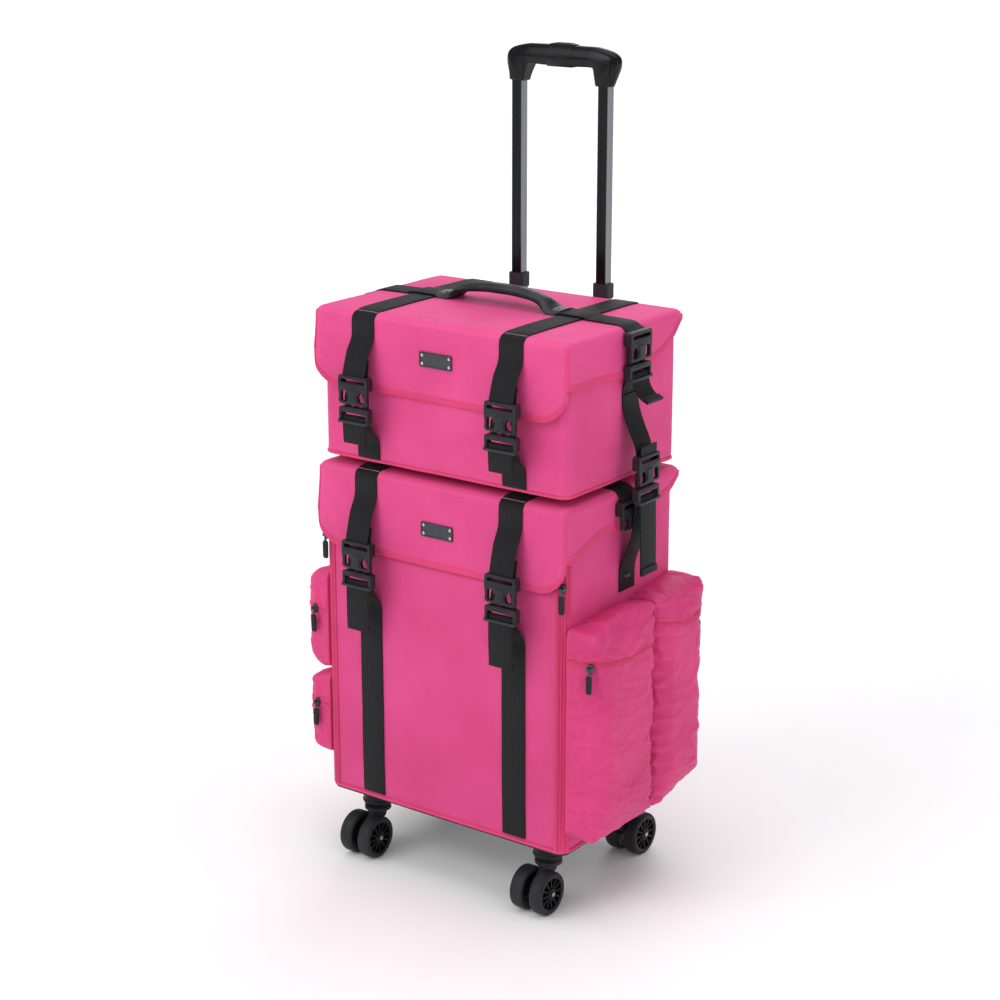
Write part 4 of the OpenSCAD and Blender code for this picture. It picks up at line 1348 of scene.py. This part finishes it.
def over_the_lid(arch, edge, loop, face, y, crossing=True):
    """A strap from side to side: arch in the middle, over the two front straps, round each socket's bar."""
    right = arch + edge
    path = np.array([(-x, z) for x, z in reversed(loop)] + [(-x, z) for x, z in reversed(right)]
                    + right[1:] + loop, float)
    path = draped(rounded_path(np.array([(x, y, z) for x, z in path]), 3, 3.0), [face])
    if crossing:
        over = 1 - smoothstep(STRAP_W / 2 + 1, STRAP_W / 2 + 9, np.abs(np.abs(path[:, 0]) - STRAP_X))
        path[:, 2] += 2.5 * over * (path[:, 2] > path[:, 2].max() - 60)
    return path


front_straps("vanity_lid_straps", "vanity_lid", lid_path(VANITY_TOP, TOP_BUCKLE_Z), [vanity_lid_face], 201)
front_straps("trunk_lid_straps", "trunk_lid", lid_path(TRUNK_TOP, DOOR_BUCKLE_Z), [trunk_lid_face], 211)
front_straps("vanity_front_straps", "vanity_case",
             front_path(VANITY_LOW[2] - 1, VANITY_LOW[2] + 20, TOP_BUCKLE_Z, 36), [vanity_face], 221, True)
front_straps("door_straps", "front_door", front_path(DOOR_LOW[2] + 4, DOOR_BUCKLE_Z - 75, DOOR_BUCKLE_Z, 70),
             [door_face], 231, True)


def socket_turn(x, z):
    bar = z + SOCKET_BAR
    return [(x + BAR_TURN, bar + 1), *bar_turn(x, bar, -1, -1), (x - BAR_TURN - 0.3, bar + 4)]


ARCH = [(0, 22.5), (25, 22.5), (60, 18), (86, 7.5), (100, 3.2)]
vanity_cross = over_the_lid([(x, VANITY_TOP + h) for x, h in ARCH], [(LID_X + 3, VANITY_TOP + 1.5)],
                            socket_turn(*SIDE_A), vanity_lid_face, CROSS_Y)
side_straps("vanity_cross_strap", "vanity_lid", [], CROSS_Y, [], 241, vanity_cross)
trunk_edge = [(LID_X + 2, TRUNK_TOP + 1), (LOOSE[0] + BAR_TURN, TRUNK_TOP - 9)]
trunk_cross = over_the_lid([(0, TRUNK_TOP + 1)], trunk_edge, socket_turn(*LOOSE), trunk_lid_face, LOOSE_Y)
side_straps("trunk_cross_strap", "trunk_lid", [], LOOSE_Y, [], 251, trunk_cross)

ANCHOR_V, ANCHOR_T = VANITY_TOP - 99, TRUNK_TOP - 143
UP_BAR, DOWN_BAR = SIDE_A[1] + PLUG_BAR, SIDE_B[1] + SOCKET_BAR
side_straps("vanity_side_straps", "vanity_case", [
    ([(CASE_X + 1, ANCHOR_V - 14), (CASE_X + 1, ANCHOR_V + 12), (SIDE_A[0] - BAR_TURN, UP_BAR - 4),
      *bar_turn(SIDE_A[0], UP_BAR, 1), (SIDE_A[0] + 6, UP_BAR - 14), (SIDE_A[0] + 13, UP_BAR - 27),
      (SIDE_A[0] + 28, UP_BAR - 34)], True),
    ([(CASE_X + 3.4, ANCHOR_V + 8), (CASE_X + 3.4, ANCHOR_V - 8), (CASE_X + 11, ANCHOR_V - 30),
      (SIDE_B[0] - BAR_TURN, DOWN_BAR + 13), *bar_turn(SIDE_B[0], DOWN_BAR, -1),
      (SIDE_B[0] + BAR_TURN, DOWN_BAR + 16)], False)], CROSS_Y, [], 261)
LOW_BAR = SIDE_B[1] + PLUG_BAR
side_straps("trunk_side_straps", "trunk", [
    ([(CASE_X + 2.4, ANCHOR_T - 1), (CASE_X + 2.4, ANCHOR_T + 30), (CASE_X + 6, ANCHOR_T + 42),
      (CASE_X + 21, ANCHOR_T + 78), (SIDE_B[0] - 6, ANCHOR_T + 105), (SIDE_B[0] - BAR_TURN, LOW_BAR - 2),
      *bar_turn(SIDE_B[0], LOW_BAR, 1), (SIDE_B[0] + 5, ANCHOR_T + 80),
      (SIDE_B[0] + 6, ANCHOR_T + 28)], True)],
    CROSS_Y, [], 271)


# ---- buckles, drawn in (across, up, outward) round the closed buckle's middle ----

def bar_along(v, w=24.0, r=2.0):
    return cord(np.array([(-w, v, 0), (0, v, 0), (w, v, 0)], float), r, Z, count=14)


def mirror_x(outline):
    return [(-x, y) for x, y in reversed(outline)]


def socket_shape():
    """The half with the windows: a thick frame round the webbing's bar and a shield over the prongs."""
    out = Build()
    rim = [(-24, 31), (24, 31), (25, 26), (25, 12), (23.5, 2), (25, -4), (22, -8), (-22, -8), (-25, -4),
           (-23.5, 2), (-25, 12), (-25, 26)]
    slot = rounded_outline([(-20.3, 26.3), (20.3, 26.3), (20.3, 21.6), (-20.3, 21.6)], 1.2)
    window = rounded_outline([(10, -4.2), (19.8, -4.2), (19.6, 9.5), (12.5, 11), (7.6, 4)], 1.6)
    top = [slot, window, mirror_x(window)]
    out.add(plate([rounded_outline(rim, 2.6)] + top, 0.7, 6.0, 0.7))
    back = [(-24, 31), (24, 31), (25, 26), (25, 13), (22, 11.2), (-22, 11.2), (-25, 13), (-25, 26)]
    out.add(plate([rounded_outline(back, 2.2), slot], -6.0, 0.9, 0.7))
    shield = [(-8.2, 12.5), (8.2, 12.5), (6.0, 4), (8.6, -4.5), (-8.6, -4.5), (-6.0, 4)]
    out.add(plate([rounded_outline(shield, 1.5)], 5.0, 7.1, 0.8))
    for v in (14.2, 16.2):
        out.add(block((-15, v - 0.5, 5.5), (15, v + 0.5, 6.6), 0.35))
    return out.add(bar_along(SOCKET_BAR, 23.5, 2.1))


def plug_shape():
    """The half with the prongs, and a ladder frame for the adjustable webbing."""
    out = Build()
    frame_line = [(-25, -13.5), (-20, -12), (20, -12), (25, -13.5), (25, -31), (20.6, -31), (20.6, -19.6),
                  (-20.6, -19.6), (-20.6, -31), (-25, -31)]
    out.add(plate([rounded_outline(frame_line, 1.6)], -5.5, 5.5, 0.7))
    prong = [(9.6, -13), (18.6, -13), (19.6, -4), (19.2, 3), (17.4, 8), (12.6, 9.6), (11.2, 6), (14.2, 1),
             (14.4, -5), (12.4, -10)]
    for side in (prong, mirror_x(prong)):
        out.add(plate([rounded_outline(side, 1.4)], -5.3, -0.3, 0.7))
    out.add(plate([rounded_outline([(-2.2, -13), (2.2, -13), (1.4, 6), (-1.4, 6)], 0.8)], -4.6, -0.8, 0.5))
    for v in (-14.6, -16.8):
        out.add(block((-17, v - 0.55, 5.0), (17, v + 0.55, 6.1), 0.4))
    out.add(block((-24.8, -34.0, 6.3), (24.8, -30.2, 8.3), 0.8))
    for x in (-22.8, 22.8):
        out.add(block((x - 2.1, -34.0, -2.0), (x + 2.1, -29.4, 8.0), 0.8))
    return out.add(bar_along(PLUG_BAR, 23.0, 2.0))


def buckle_halves(name, body, shape, front_z=None, sides=None):
    """Buckle halves: a pair on the front straps at front_z, a pair on the sides at (x, y, z)."""
    out = Build()
    if front_z:
        for sign in (-1, 1):
            add_all(out, shape(), (sign * STRAP_X, -FRONT_BAR_Y, front_z), X, Z, -Y)
    if sides:
        for sign in (-1, 1):
            x, y, z = sides
            add_all(out, shape(), (sign * x, y, z), Y, Z, sign * X)
    out.make(name, BUCKLE, body, [name], "buckle_plastic")


buckle_halves("vanity_lid_sockets", "vanity_lid", socket_shape, TOP_BUCKLE_Z, (SIDE_A[0], CROSS_Y, SIDE_A[1]))
buckle_halves("vanity_plugs", "vanity_case", plug_shape, TOP_BUCKLE_Z, (SIDE_A[0], CROSS_Y, SIDE_A[1]))
buckle_halves("vanity_side_sockets", "vanity_case", socket_shape, None, (SIDE_B[0], CROSS_Y, SIDE_B[1]))
buckle_halves("trunk_side_plugs", "trunk", plug_shape, None, (SIDE_B[0], CROSS_Y, SIDE_B[1]))
buckle_halves("trunk_lid_sockets", "trunk_lid", socket_shape, DOOR_BUCKLE_Z, (LOOSE[0], LOOSE_Y, LOOSE[1]))
buckle_halves("door_plugs", "front_door", plug_shape, DOOR_BUCKLE_Z)


def domed_rivets():
    out = Build()
    dome = [(6.2, 0), (6.2, 0.5), (5.4, 1.0), (4.9, 0.9), (4.4, 1.7), (2.6, 2.5), (0.01, 2.8)]
    for sign in (-1, 1):
        points, faces = lathe(dome, 32)
        out.add(placed((points, faces), (sign * (CASE_X + 3.3), CROSS_Y, ANCHOR_T + 18), Y, Z, sign * X))
    out.make("strap_rivets", DARK_METAL, "trunk", ["strap_rivets"], "steel")


domed_rivets()


# ---- name plates and carry handle ----

def name_plate(node, rivets, body, face):
    """A dark plate with a raised border, held by a rivet in each corner; nothing is written on it."""
    low, high = corners(node)
    z, w, h = (low[2] + high[2]) / 2, high[0] - low[0], high[2] - low[2]
    spot = face.cast([(x, -300.0, z) for x in (-w / 2, 0, w / 2)], (0, 1, 0), 0.3)[0]
    origin = np.array([0, spot[:, 1].min(), z])
    outline = rounded_outline([(-w / 2, h / 2), (w / 2, h / 2), (w / 2, -h / 2), (-w / 2, -h / 2)], 2.4)
    inner = rounded_outline([(-w / 2 + 2, h / 2 - 2), (w / 2 - 2, h / 2 - 2), (w / 2 - 2, -h / 2 + 2),
                             (-w / 2 + 2, -h / 2 + 2)], 1.4)
    out = Build()
    out.add(placed(plate([outline], -0.6, 1.1, 0.3), origin, X, Z, -Y))
    out.add(placed(plate([outline, inner], 0.6, 1.7, 0.25), origin, X, Z, -Y))
    out.make(node, DARK_METAL, body, [node], "plate_metal")
    heads = Build()
    for x in (-1, 1):
        for v in (-1, 1):
            head = lathe([(2.3, 0.9), (2.3, 1.3), (1.7, 1.9), (0.8, 2.25), (0.01, 2.3)], 24)
            heads.add(placed(head, origin + x * (w / 2 - 4.4) * X + v * (h / 2 - 4.4) * Z, X, Z, -Y))
    heads.make(rivets, STEEL, body, [rivets], "steel")


name_plate("trunk_name_plate", "trunk_plate_rivets", "trunk_lid", trunk_lid_face)
name_plate("vanity_name_plate", "vanity_plate_rivets", "vanity_lid", vanity_lid_face)


def carry_handle():
    """A moulded arch over the cross strap: a narrow rounded grip, wedge shoulders and flat ends."""
    inside = np.abs(vanity_cross[:, 0]) < 104
    path = resampled(vanity_cross[inside], 2.5)
    if path[0, 0] > path[-1, 0]:
        path = path[::-1]
    x = np.abs(path[:, 0])
    path[:, 2] += 0.8
    width = np.interp(x, [0, 58, 66, 80, 85, 87, 98, 104], [23, 24, 27, 40, 42, 40.5, 40, 34])
    height = np.interp(x, [0, 40, 60, 72, 84, 86, 88, 99, 104], [13, 12.4, 11, 10, 9.2, 7.6, 8.6, 6.5, 4.0])
    t = tangents(path)
    up = unit(np.cross(t, -Y))
    up *= np.sign(up[:, 2:3])
    profile = np.array([(0.5, -0.28), (0.5, 0.05), (0.44, 0.26), (0.30, 0.44), (0.12, 0.5), (-0.12, 0.5),
                        (-0.30, 0.44), (-0.44, 0.26), (-0.5, 0.05), (-0.5, -0.28), (-0.40, -0.46),
                        (-0.2, -0.5), (0.2, -0.5), (0.40, -0.46)])
    out = Build().add(sweep(path, profile, np.broadcast_to(Y, path.shape), up,
                            scale=np.stack([width, height], axis=1)))
    for sign in (-1, 1):
        groove = path[np.argmin(np.abs(path[:, 0] - sign * 94))]
        disc = lathe([(3.4, 2.0), (3.4, 3.9), (2.6, 4.5), (0.01, 4.7)], 24)
        out.add(placed(disc, groove, X, Y, Z))
    out.make("carry_handle", RUBBER, "vanity_lid", ["carry_handle"], "grip_rubber")


carry_handle()


# ---- telescopic handle ----

def grip():
    """The pull grip: a crossbar with rounded shoulders and two legs that narrow down to the tubes."""
    low, high = corners("handle_grip")
    y, foot, top = (low[1] + high[1]) / 2, low[2] - high[2], high[2]
    inner = [(0, -28), (24, -27.6), (45, -27), (51.5, -27.2), (53, -27.8), (54, -29), (54.6, -31),
             (55.2, -34), (57, -42), (59, foot)]
    outer = [(0, 0), (24, -0.1), (54, -0.4), (70, -3.2), (82, -6.5), (89.5, -12), (92, -19), (91.6, -27),
             (87.5, -40), (83, foot)]
    shoulder = [(1, 0.14), (1, 0.50), (0.86, 0.64), (0.8, 0.80), (0.6, 0.92), (0.35, 0.985)]
    section = shoulder + [(0, 1)] + mirror_x(shoulder) + [(-0.8, 0), (0.8, 0)]
    rows = resampled(np.hstack([mirror_x(inner)[:-1] + inner, mirror_x(outer)[:-1] + outer]), 2.5)
    for _ in range(3):
        rows[1:-1] = (rows[:-2] + 2 * rows[1:-1] + rows[2:]) / 4
    down = smoothstep(-18, foot, (rows[:, 1] + rows[:, 3]) / 2)
    reach = np.linalg.norm(rows[:, 2:] - rows[:, :2], axis=1)
    path = np.stack([rows[:, 0], y - 4 * down, top + rows[:, 1]], axis=1)
    away = unit(np.stack([rows[:, 2] - rows[:, 0], 0 * down, rows[:, 3] - rows[:, 1]], axis=1))
    out = Build().add(sweep(path, section, Y, away, scale=np.stack([14 - 4 * down, reach], axis=1))[:2])
    housing = np.array([(x, y, top - 29) for x in (-20.5, -19.5, 19.5, 20.5)])
    size = [(13.6, 28.6), (14.5, 30.4), (14.5, 30.4), (13.6, 28.6)]
    out.add(sweep(housing, section, Y, Z, scale=size)[:2])
    panel = rounded_outline([(60.5, foot + 1), (80.5, foot + 1), (83, -19.5), (56, -15.5)], 1.4)
    for outline in (panel, mirror_x(panel)):
        out.add(placed(plate([outline], 8, 14.9, 0.7), (0, y, top), X, Z, -Y))
    out.make("handle_grip", GLOSS, "handle_upper", ["handle_grip"], "grip_plastic")
    button_low, button_high = corners("release_button")
    bx, by = (button_high - button_low)[:2]
    side, depth = bx / 2, by / 2
    outline = rounded_outline([(-side, depth), (side, depth), (side, -depth), (-side, -depth)], 3.0)
    press = Build()
    press.add(placed(plate([outline], -6, 0, 1.0), (0, y, button_high[2]), X, Y, Z))
    for x in (-9, -4.5, 0, 4.5, 9):
        press.add(placed(block((x - 0.7, -by / 2 + 2.5, -0.6), (x + 0.7, by / 2 - 2.5, 0.45), 0.35),
                         (0, y, button_high[2]), X, Y, Z))
    press.make("release_button", PLASTIC, "release_button", ["release_button"], "moulded_plastic")


grip()


def padded_cover():
    """The soft cover over the fixed tubes: a skin sewn to the trunk's back, quilted, open for the tubes."""
    low, high = corners("handle_cover")
    outer_tubes = corners("outer_tubes")[1]
    half = 12.5
    tube_x = outer_tubes[0] - 11.5
    openings = [-tube_x - half, -tube_x + half, tube_x - half, tube_x + half]
    xs = lines([low[0], *openings, high[0]], [5, 5.5, 5, 5.5, 5])
    ys = lines([low[1], high[1]], [5])
    zs = lines([low[2], high[2]], [6])

    def keep(side, quad):
        x, y, _ = np.mean(quad, axis=0)
        return side != "top" or abs(abs(x) - tube_x) > half or y > outer_tubes[1] + 1.5

    points, faces, _ = box_sheet(xs, ys, zs, ["back", "left", "right", "top", "bottom"], keep)
    held = points[:, 1] < low[1] + 0.1
    points = rounded_block(points, low, high, [10, 0, 8], [10, 10, 4])
    obj = sheet_object("handle_cover_cloth", points, faces)
    base = points.copy()
    inflate(obj, held | (points[:, 2] > high[2] - 5), 2.5, 0.012)
    move = coordinates(obj) - base
    length = np.linalg.norm(move, axis=1)
    move *= (np.minimum(length, 5) / np.maximum(length, 1e-6))[:, None]
    set_coordinates(obj, base + move)
    surf = obj.modifiers.new("finer", "SUBSURF")
    surf.levels = surf.render_levels = 1
    apply_modifiers(obj)
    points, n = coordinates(obj), normals(obj)
    free = smoothstep(0, 12, points[:, 1] - low[1])
    channel = sum(np.exp(-((points[:, 2] - z) / 5) ** 2) for z in np.linspace(low[2], high[2], 6)[1:-1])
    points += n * ((creased(points, 1.1, 301) - 3.2 * channel) * free)[:, None]
    set_coordinates(obj, points)
    obj.data.materials.append(PINK)
    smooth(obj, 70)
    face = Surface(obj)
    thick = obj.modifiers.new("thickness", "SOLIDIFY")
    thick.thickness, thick.offset = 1.6 * MM, -1
    apply_modifiers(obj)
    finish_piece(obj, "trunk", ["handle_cover"])
    rows = []
    for z in np.linspace(low[2], high[2], 6)[1:-1]:
        start = [(x, 400.0, z) for x in np.arange(low[0] + 10, high[0] - 10, 4.0)]
        rows.append(face.cast(start, (0, -1, 0), 0.15))
    stitches("handle_cover_stitching", rows, THREAD, "trunk", 4.2, 2.9, 0.42)
    edge = rounded_path([(low[0] + 1, low[1] + 1.5, high[2]), (low[0] + 1, low[1] + 1.5, low[2]),
                         (high[0] - 1, low[1] + 1.5, low[2]), (high[0] - 1, low[1] + 1.5, high[2])], 3, 5)
    Build().add(cord(edge, 2.0, Y)).make("handle_cover_piping", TRIM, "trunk")


padded_cover()


# ---- casters ----

def wheels_shape():
    """One wheel about Z: a rounded tread, a dished rim, a hub cap and twelve thin spokes."""
    out_tyre, out_hub = Build(), Build()
    r, h = 30.4, 10.0
    tyre = [(23.4, -h + 0.5), (24.5, -h), (27.5, -h), (29.4, -h + 1.4), (r, -h + 4)]
    tyre += [(radius, -height) for radius, height in reversed(tyre)]
    out_tyre.add(lathe(tyre, 64, closed=True))
    rim = [(22.0, h - 1.2), (23.5, h - 0.6), (23.5, -h + 0.6), (22.0, -h + 1.2)]
    out_hub.add(lathe(rim, 64, closed=True))
    web = [(3.2, -h + 3.5), (22.6, -h + 3.5), (22.6, -h + 6.5), (3.2, -h + 6.5)]
    out_hub.add(lathe(web, 48, closed=True))
    cap = [(3.2, -h + 1), (8.5, -h + 1), (8.5, h - 1.5), (7.6, h - 0.3), (5.6, h), (4.6, h - 1.0),
           (3.2, h - 1.0)]
    out_hub.add(lathe(cap, 40, closed=True))
    for k in range(12):
        a = 2 * math.pi * k / 12
        spoke = block((7.5, -1.15, -h + 5), (22.8, 1.15, h - 1.6), 0.5)
        out_hub.add(placed(spoke, (0, 0, 0), np.array([math.cos(a), math.sin(a), 0]),
                           np.array([-math.sin(a), math.cos(a), 0]), Z))
    return out_tyre, out_hub


def casters():
    for end in ("front", "rear"):
        for side in ("left", "right"):
            name = f"wheels_{end}_{side}"
            low, high = corners(name)
            middle = (low + high) / 2
            out = Build()
            for sign in (-1, 1):
                tyre, hub = wheels_shape()
                centre = middle + sign * 16 * X
                add_all(out, tyre, centre, sign * Y, Z, sign * X, 0)
                add_all(out, hub, centre, sign * Y, Z, sign * X, 1)
            out.make(name, [TREAD, GLOSS], name, [name], "wheel_rubber")
    low, high = corners("caster_sockets")
    out = Build()
    profile = [(5.3, 0), (17.6, 0), (19.0, 1.2), (20.4, 6.5), (21.6, 7.6), (21.6, 10), (20.6, 11), (20.6, 19),
               (21.6, 20.5), (21.6, 23), (24.0, 25.2), (26.5, 26.4), (26.5, 29.4), (5.3, 29.4)]
    for x in (low[0] + 21, high[0] - 21):
        for y in (low[1] + 21, high[1] - 21):
            out.add(placed(lathe(profile, 48, closed=True), (x, y, low[2]), X, Y, Z))
    out.make("caster_sockets", PLASTIC, "trunk", ["caster_sockets"], "moulded_plastic")


casters()


# ---- parts that keep the frame's own shape ----

def dress(node, material, bevel):
    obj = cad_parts[node]
    obj.data.materials.clear()
    obj.data.materials.append(material)
    if bevel:
        edge = obj.modifiers.new("bevel", "BEVEL")
        edge.width, edge.segments = bevel * MM, 3
        edge.limit_method, edge.angle_limit = "ANGLE", math.radians(32)
        edge.harden_normals = False


for node in ("inner_tubes", "middle_tubes"):
    dress(node, TUBE, 0.2)
dress("outer_tubes", STEEL, 0.2)
for node in ("tube_collars", "tube_brackets", "base_plate"):
    dress(node, PLASTIC, 0.6)
for node in ("trunk_shelf", "vanity_divider"):
    dress(node, LINING, 1.2)
for end in ("front", "rear"):
    for side in ("left", "right"):
        dress(f"fork_{end}_{side}", PLASTIC, 1.0)
        dress(f"axle_{end}_{side}", STEEL, 0.5)


# ---- floor, light and camera ----

def aimed(obj, at):
    """Turns a lamp to face a point."""
    obj.rotation_euler = (Vector(at) - obj.location).to_track_quat("-Z", "Y").to_euler()


def soft_light(name, place, size, watts, colour=(1, 1, 1)):
    lamp = bpy.data.lights.new(name, "AREA")
    lamp.shape, lamp.size, lamp.size_y = "RECTANGLE", size[0], size[1]
    lamp.energy, lamp.color = watts, colour
    obj = bpy.data.objects.new(name, lamp)
    bpy.context.scene.collection.objects.link(obj)
    obj.location = place
    aimed(obj, (0, 0, 0.5))
    return obj


def studio():
    world = bpy.data.worlds.new("studio")
    bpy.context.scene.world = world
    world.use_nodes = True
    nodes, links = world.node_tree.nodes, world.node_tree.links
    where, facing, level = (nodes.new(kind) for kind in (
        "ShaderNodeTexCoord", "ShaderNodeVectorMath", "ShaderNodeMapRange"))
    facing.operation = "DOT_PRODUCT"
    facing.inputs[1].default_value = (0.15, -0.6, 0.78)
    for socket, value in (("From Min", -0.7), ("From Max", 0.9), ("To Min", 0.35), ("To Max", 0.95)):
        level.inputs[socket].default_value = value
    background = nodes["Background"]
    background.inputs["Color"].default_value = (0.98, 0.985, 1.0, 1)
    links.new(where.outputs["Generated"], facing.inputs[0])
    links.new(facing.outputs["Value"], level.inputs["Value"])
    ray, dim, share = (nodes.new(kind) for kind in (
        "ShaderNodeLightPath", "ShaderNodeMapRange", "ShaderNodeMath"))
    dim.inputs["To Min"].default_value, dim.inputs["To Max"].default_value = 1.0, 0.3
    share.operation = "MULTIPLY"
    links.new(ray.outputs["Is Glossy Ray"], dim.inputs["Value"])
    links.new(level.outputs["Result"], share.inputs[0])
    links.new(dim.outputs["Result"], share.inputs[1])
    links.new(share.outputs["Value"], background.inputs["Strength"])
    n = Nodes("floor")
    speck = n.noise(3, 4)
    n.set(Specular_IOR_Level=0.2, Emission_Color=(1, 1, 1, 1))
    distance = n.add("ShaderNodeVectorMath", operation="LENGTH")
    n.link(*n.position(), distance, 0)
    far = n.add("ShaderNodeMapRange", From_Min=2.2, From_Max=6.0, To_Max=0.4)
    n.link(distance, "Value", far, "Value")
    n.link(far, "Result", n.shader, "Emission Strength")
    pale = n.finish(n.mix(n.ramp(speck, 0.3, 0.7), (0.90, 0.90, 0.90), (0.93, 0.93, 0.93)),
                    n.ramp(speck, 0.3, 0.7, 0.6, 0.75), n.bump(n.noise(180, 3), 0.05, 0.0005))
    mesh = bpy.data.meshes.new("floor")
    mesh.from_pydata([(-60, -60, 0), (60, -60, 0), (60, 60, 0), (-60, 60, 0)], [], [(0, 1, 2, 3)])
    mesh.materials.append(pale)
    floor = bpy.data.objects.new("floor", mesh)
    bpy.context.scene.collection.objects.link(floor)
    lamps = [soft_light("key", (-1.6, -4.2, 3.8), (3.0, 2.4), 88),
             soft_light("side", (4.4, 0.2, 1.6), (0.9, 3.2), 17),
             soft_light("top", (0.1, 0.5, 5.0), (4.0, 4.0), 62),
             soft_light("back", (-2.0, 4.2, 2.6), (2.4, 2.4), 34)]
    lens = bpy.data.cameras.new("camera")
    lens.lens, lens.sensor_width = 79.7, 36
    camera = bpy.data.objects.new("camera", lens)
    bpy.context.scene.collection.objects.link(camera)
    turn, rise = math.radians(36.18), math.radians(16.73)
    back = Vector((math.sin(turn) * math.cos(rise), -math.cos(turn) * math.cos(rise), math.sin(rise)))
    camera.location = (1.7241, -2.3545, 1.4063)
    camera.rotation_euler = back.to_track_quat("Z", "Y").to_euler()
    bpy.context.scene.camera = camera
    bpy.context.scene.view_settings.view_transform = "Standard"


studio()
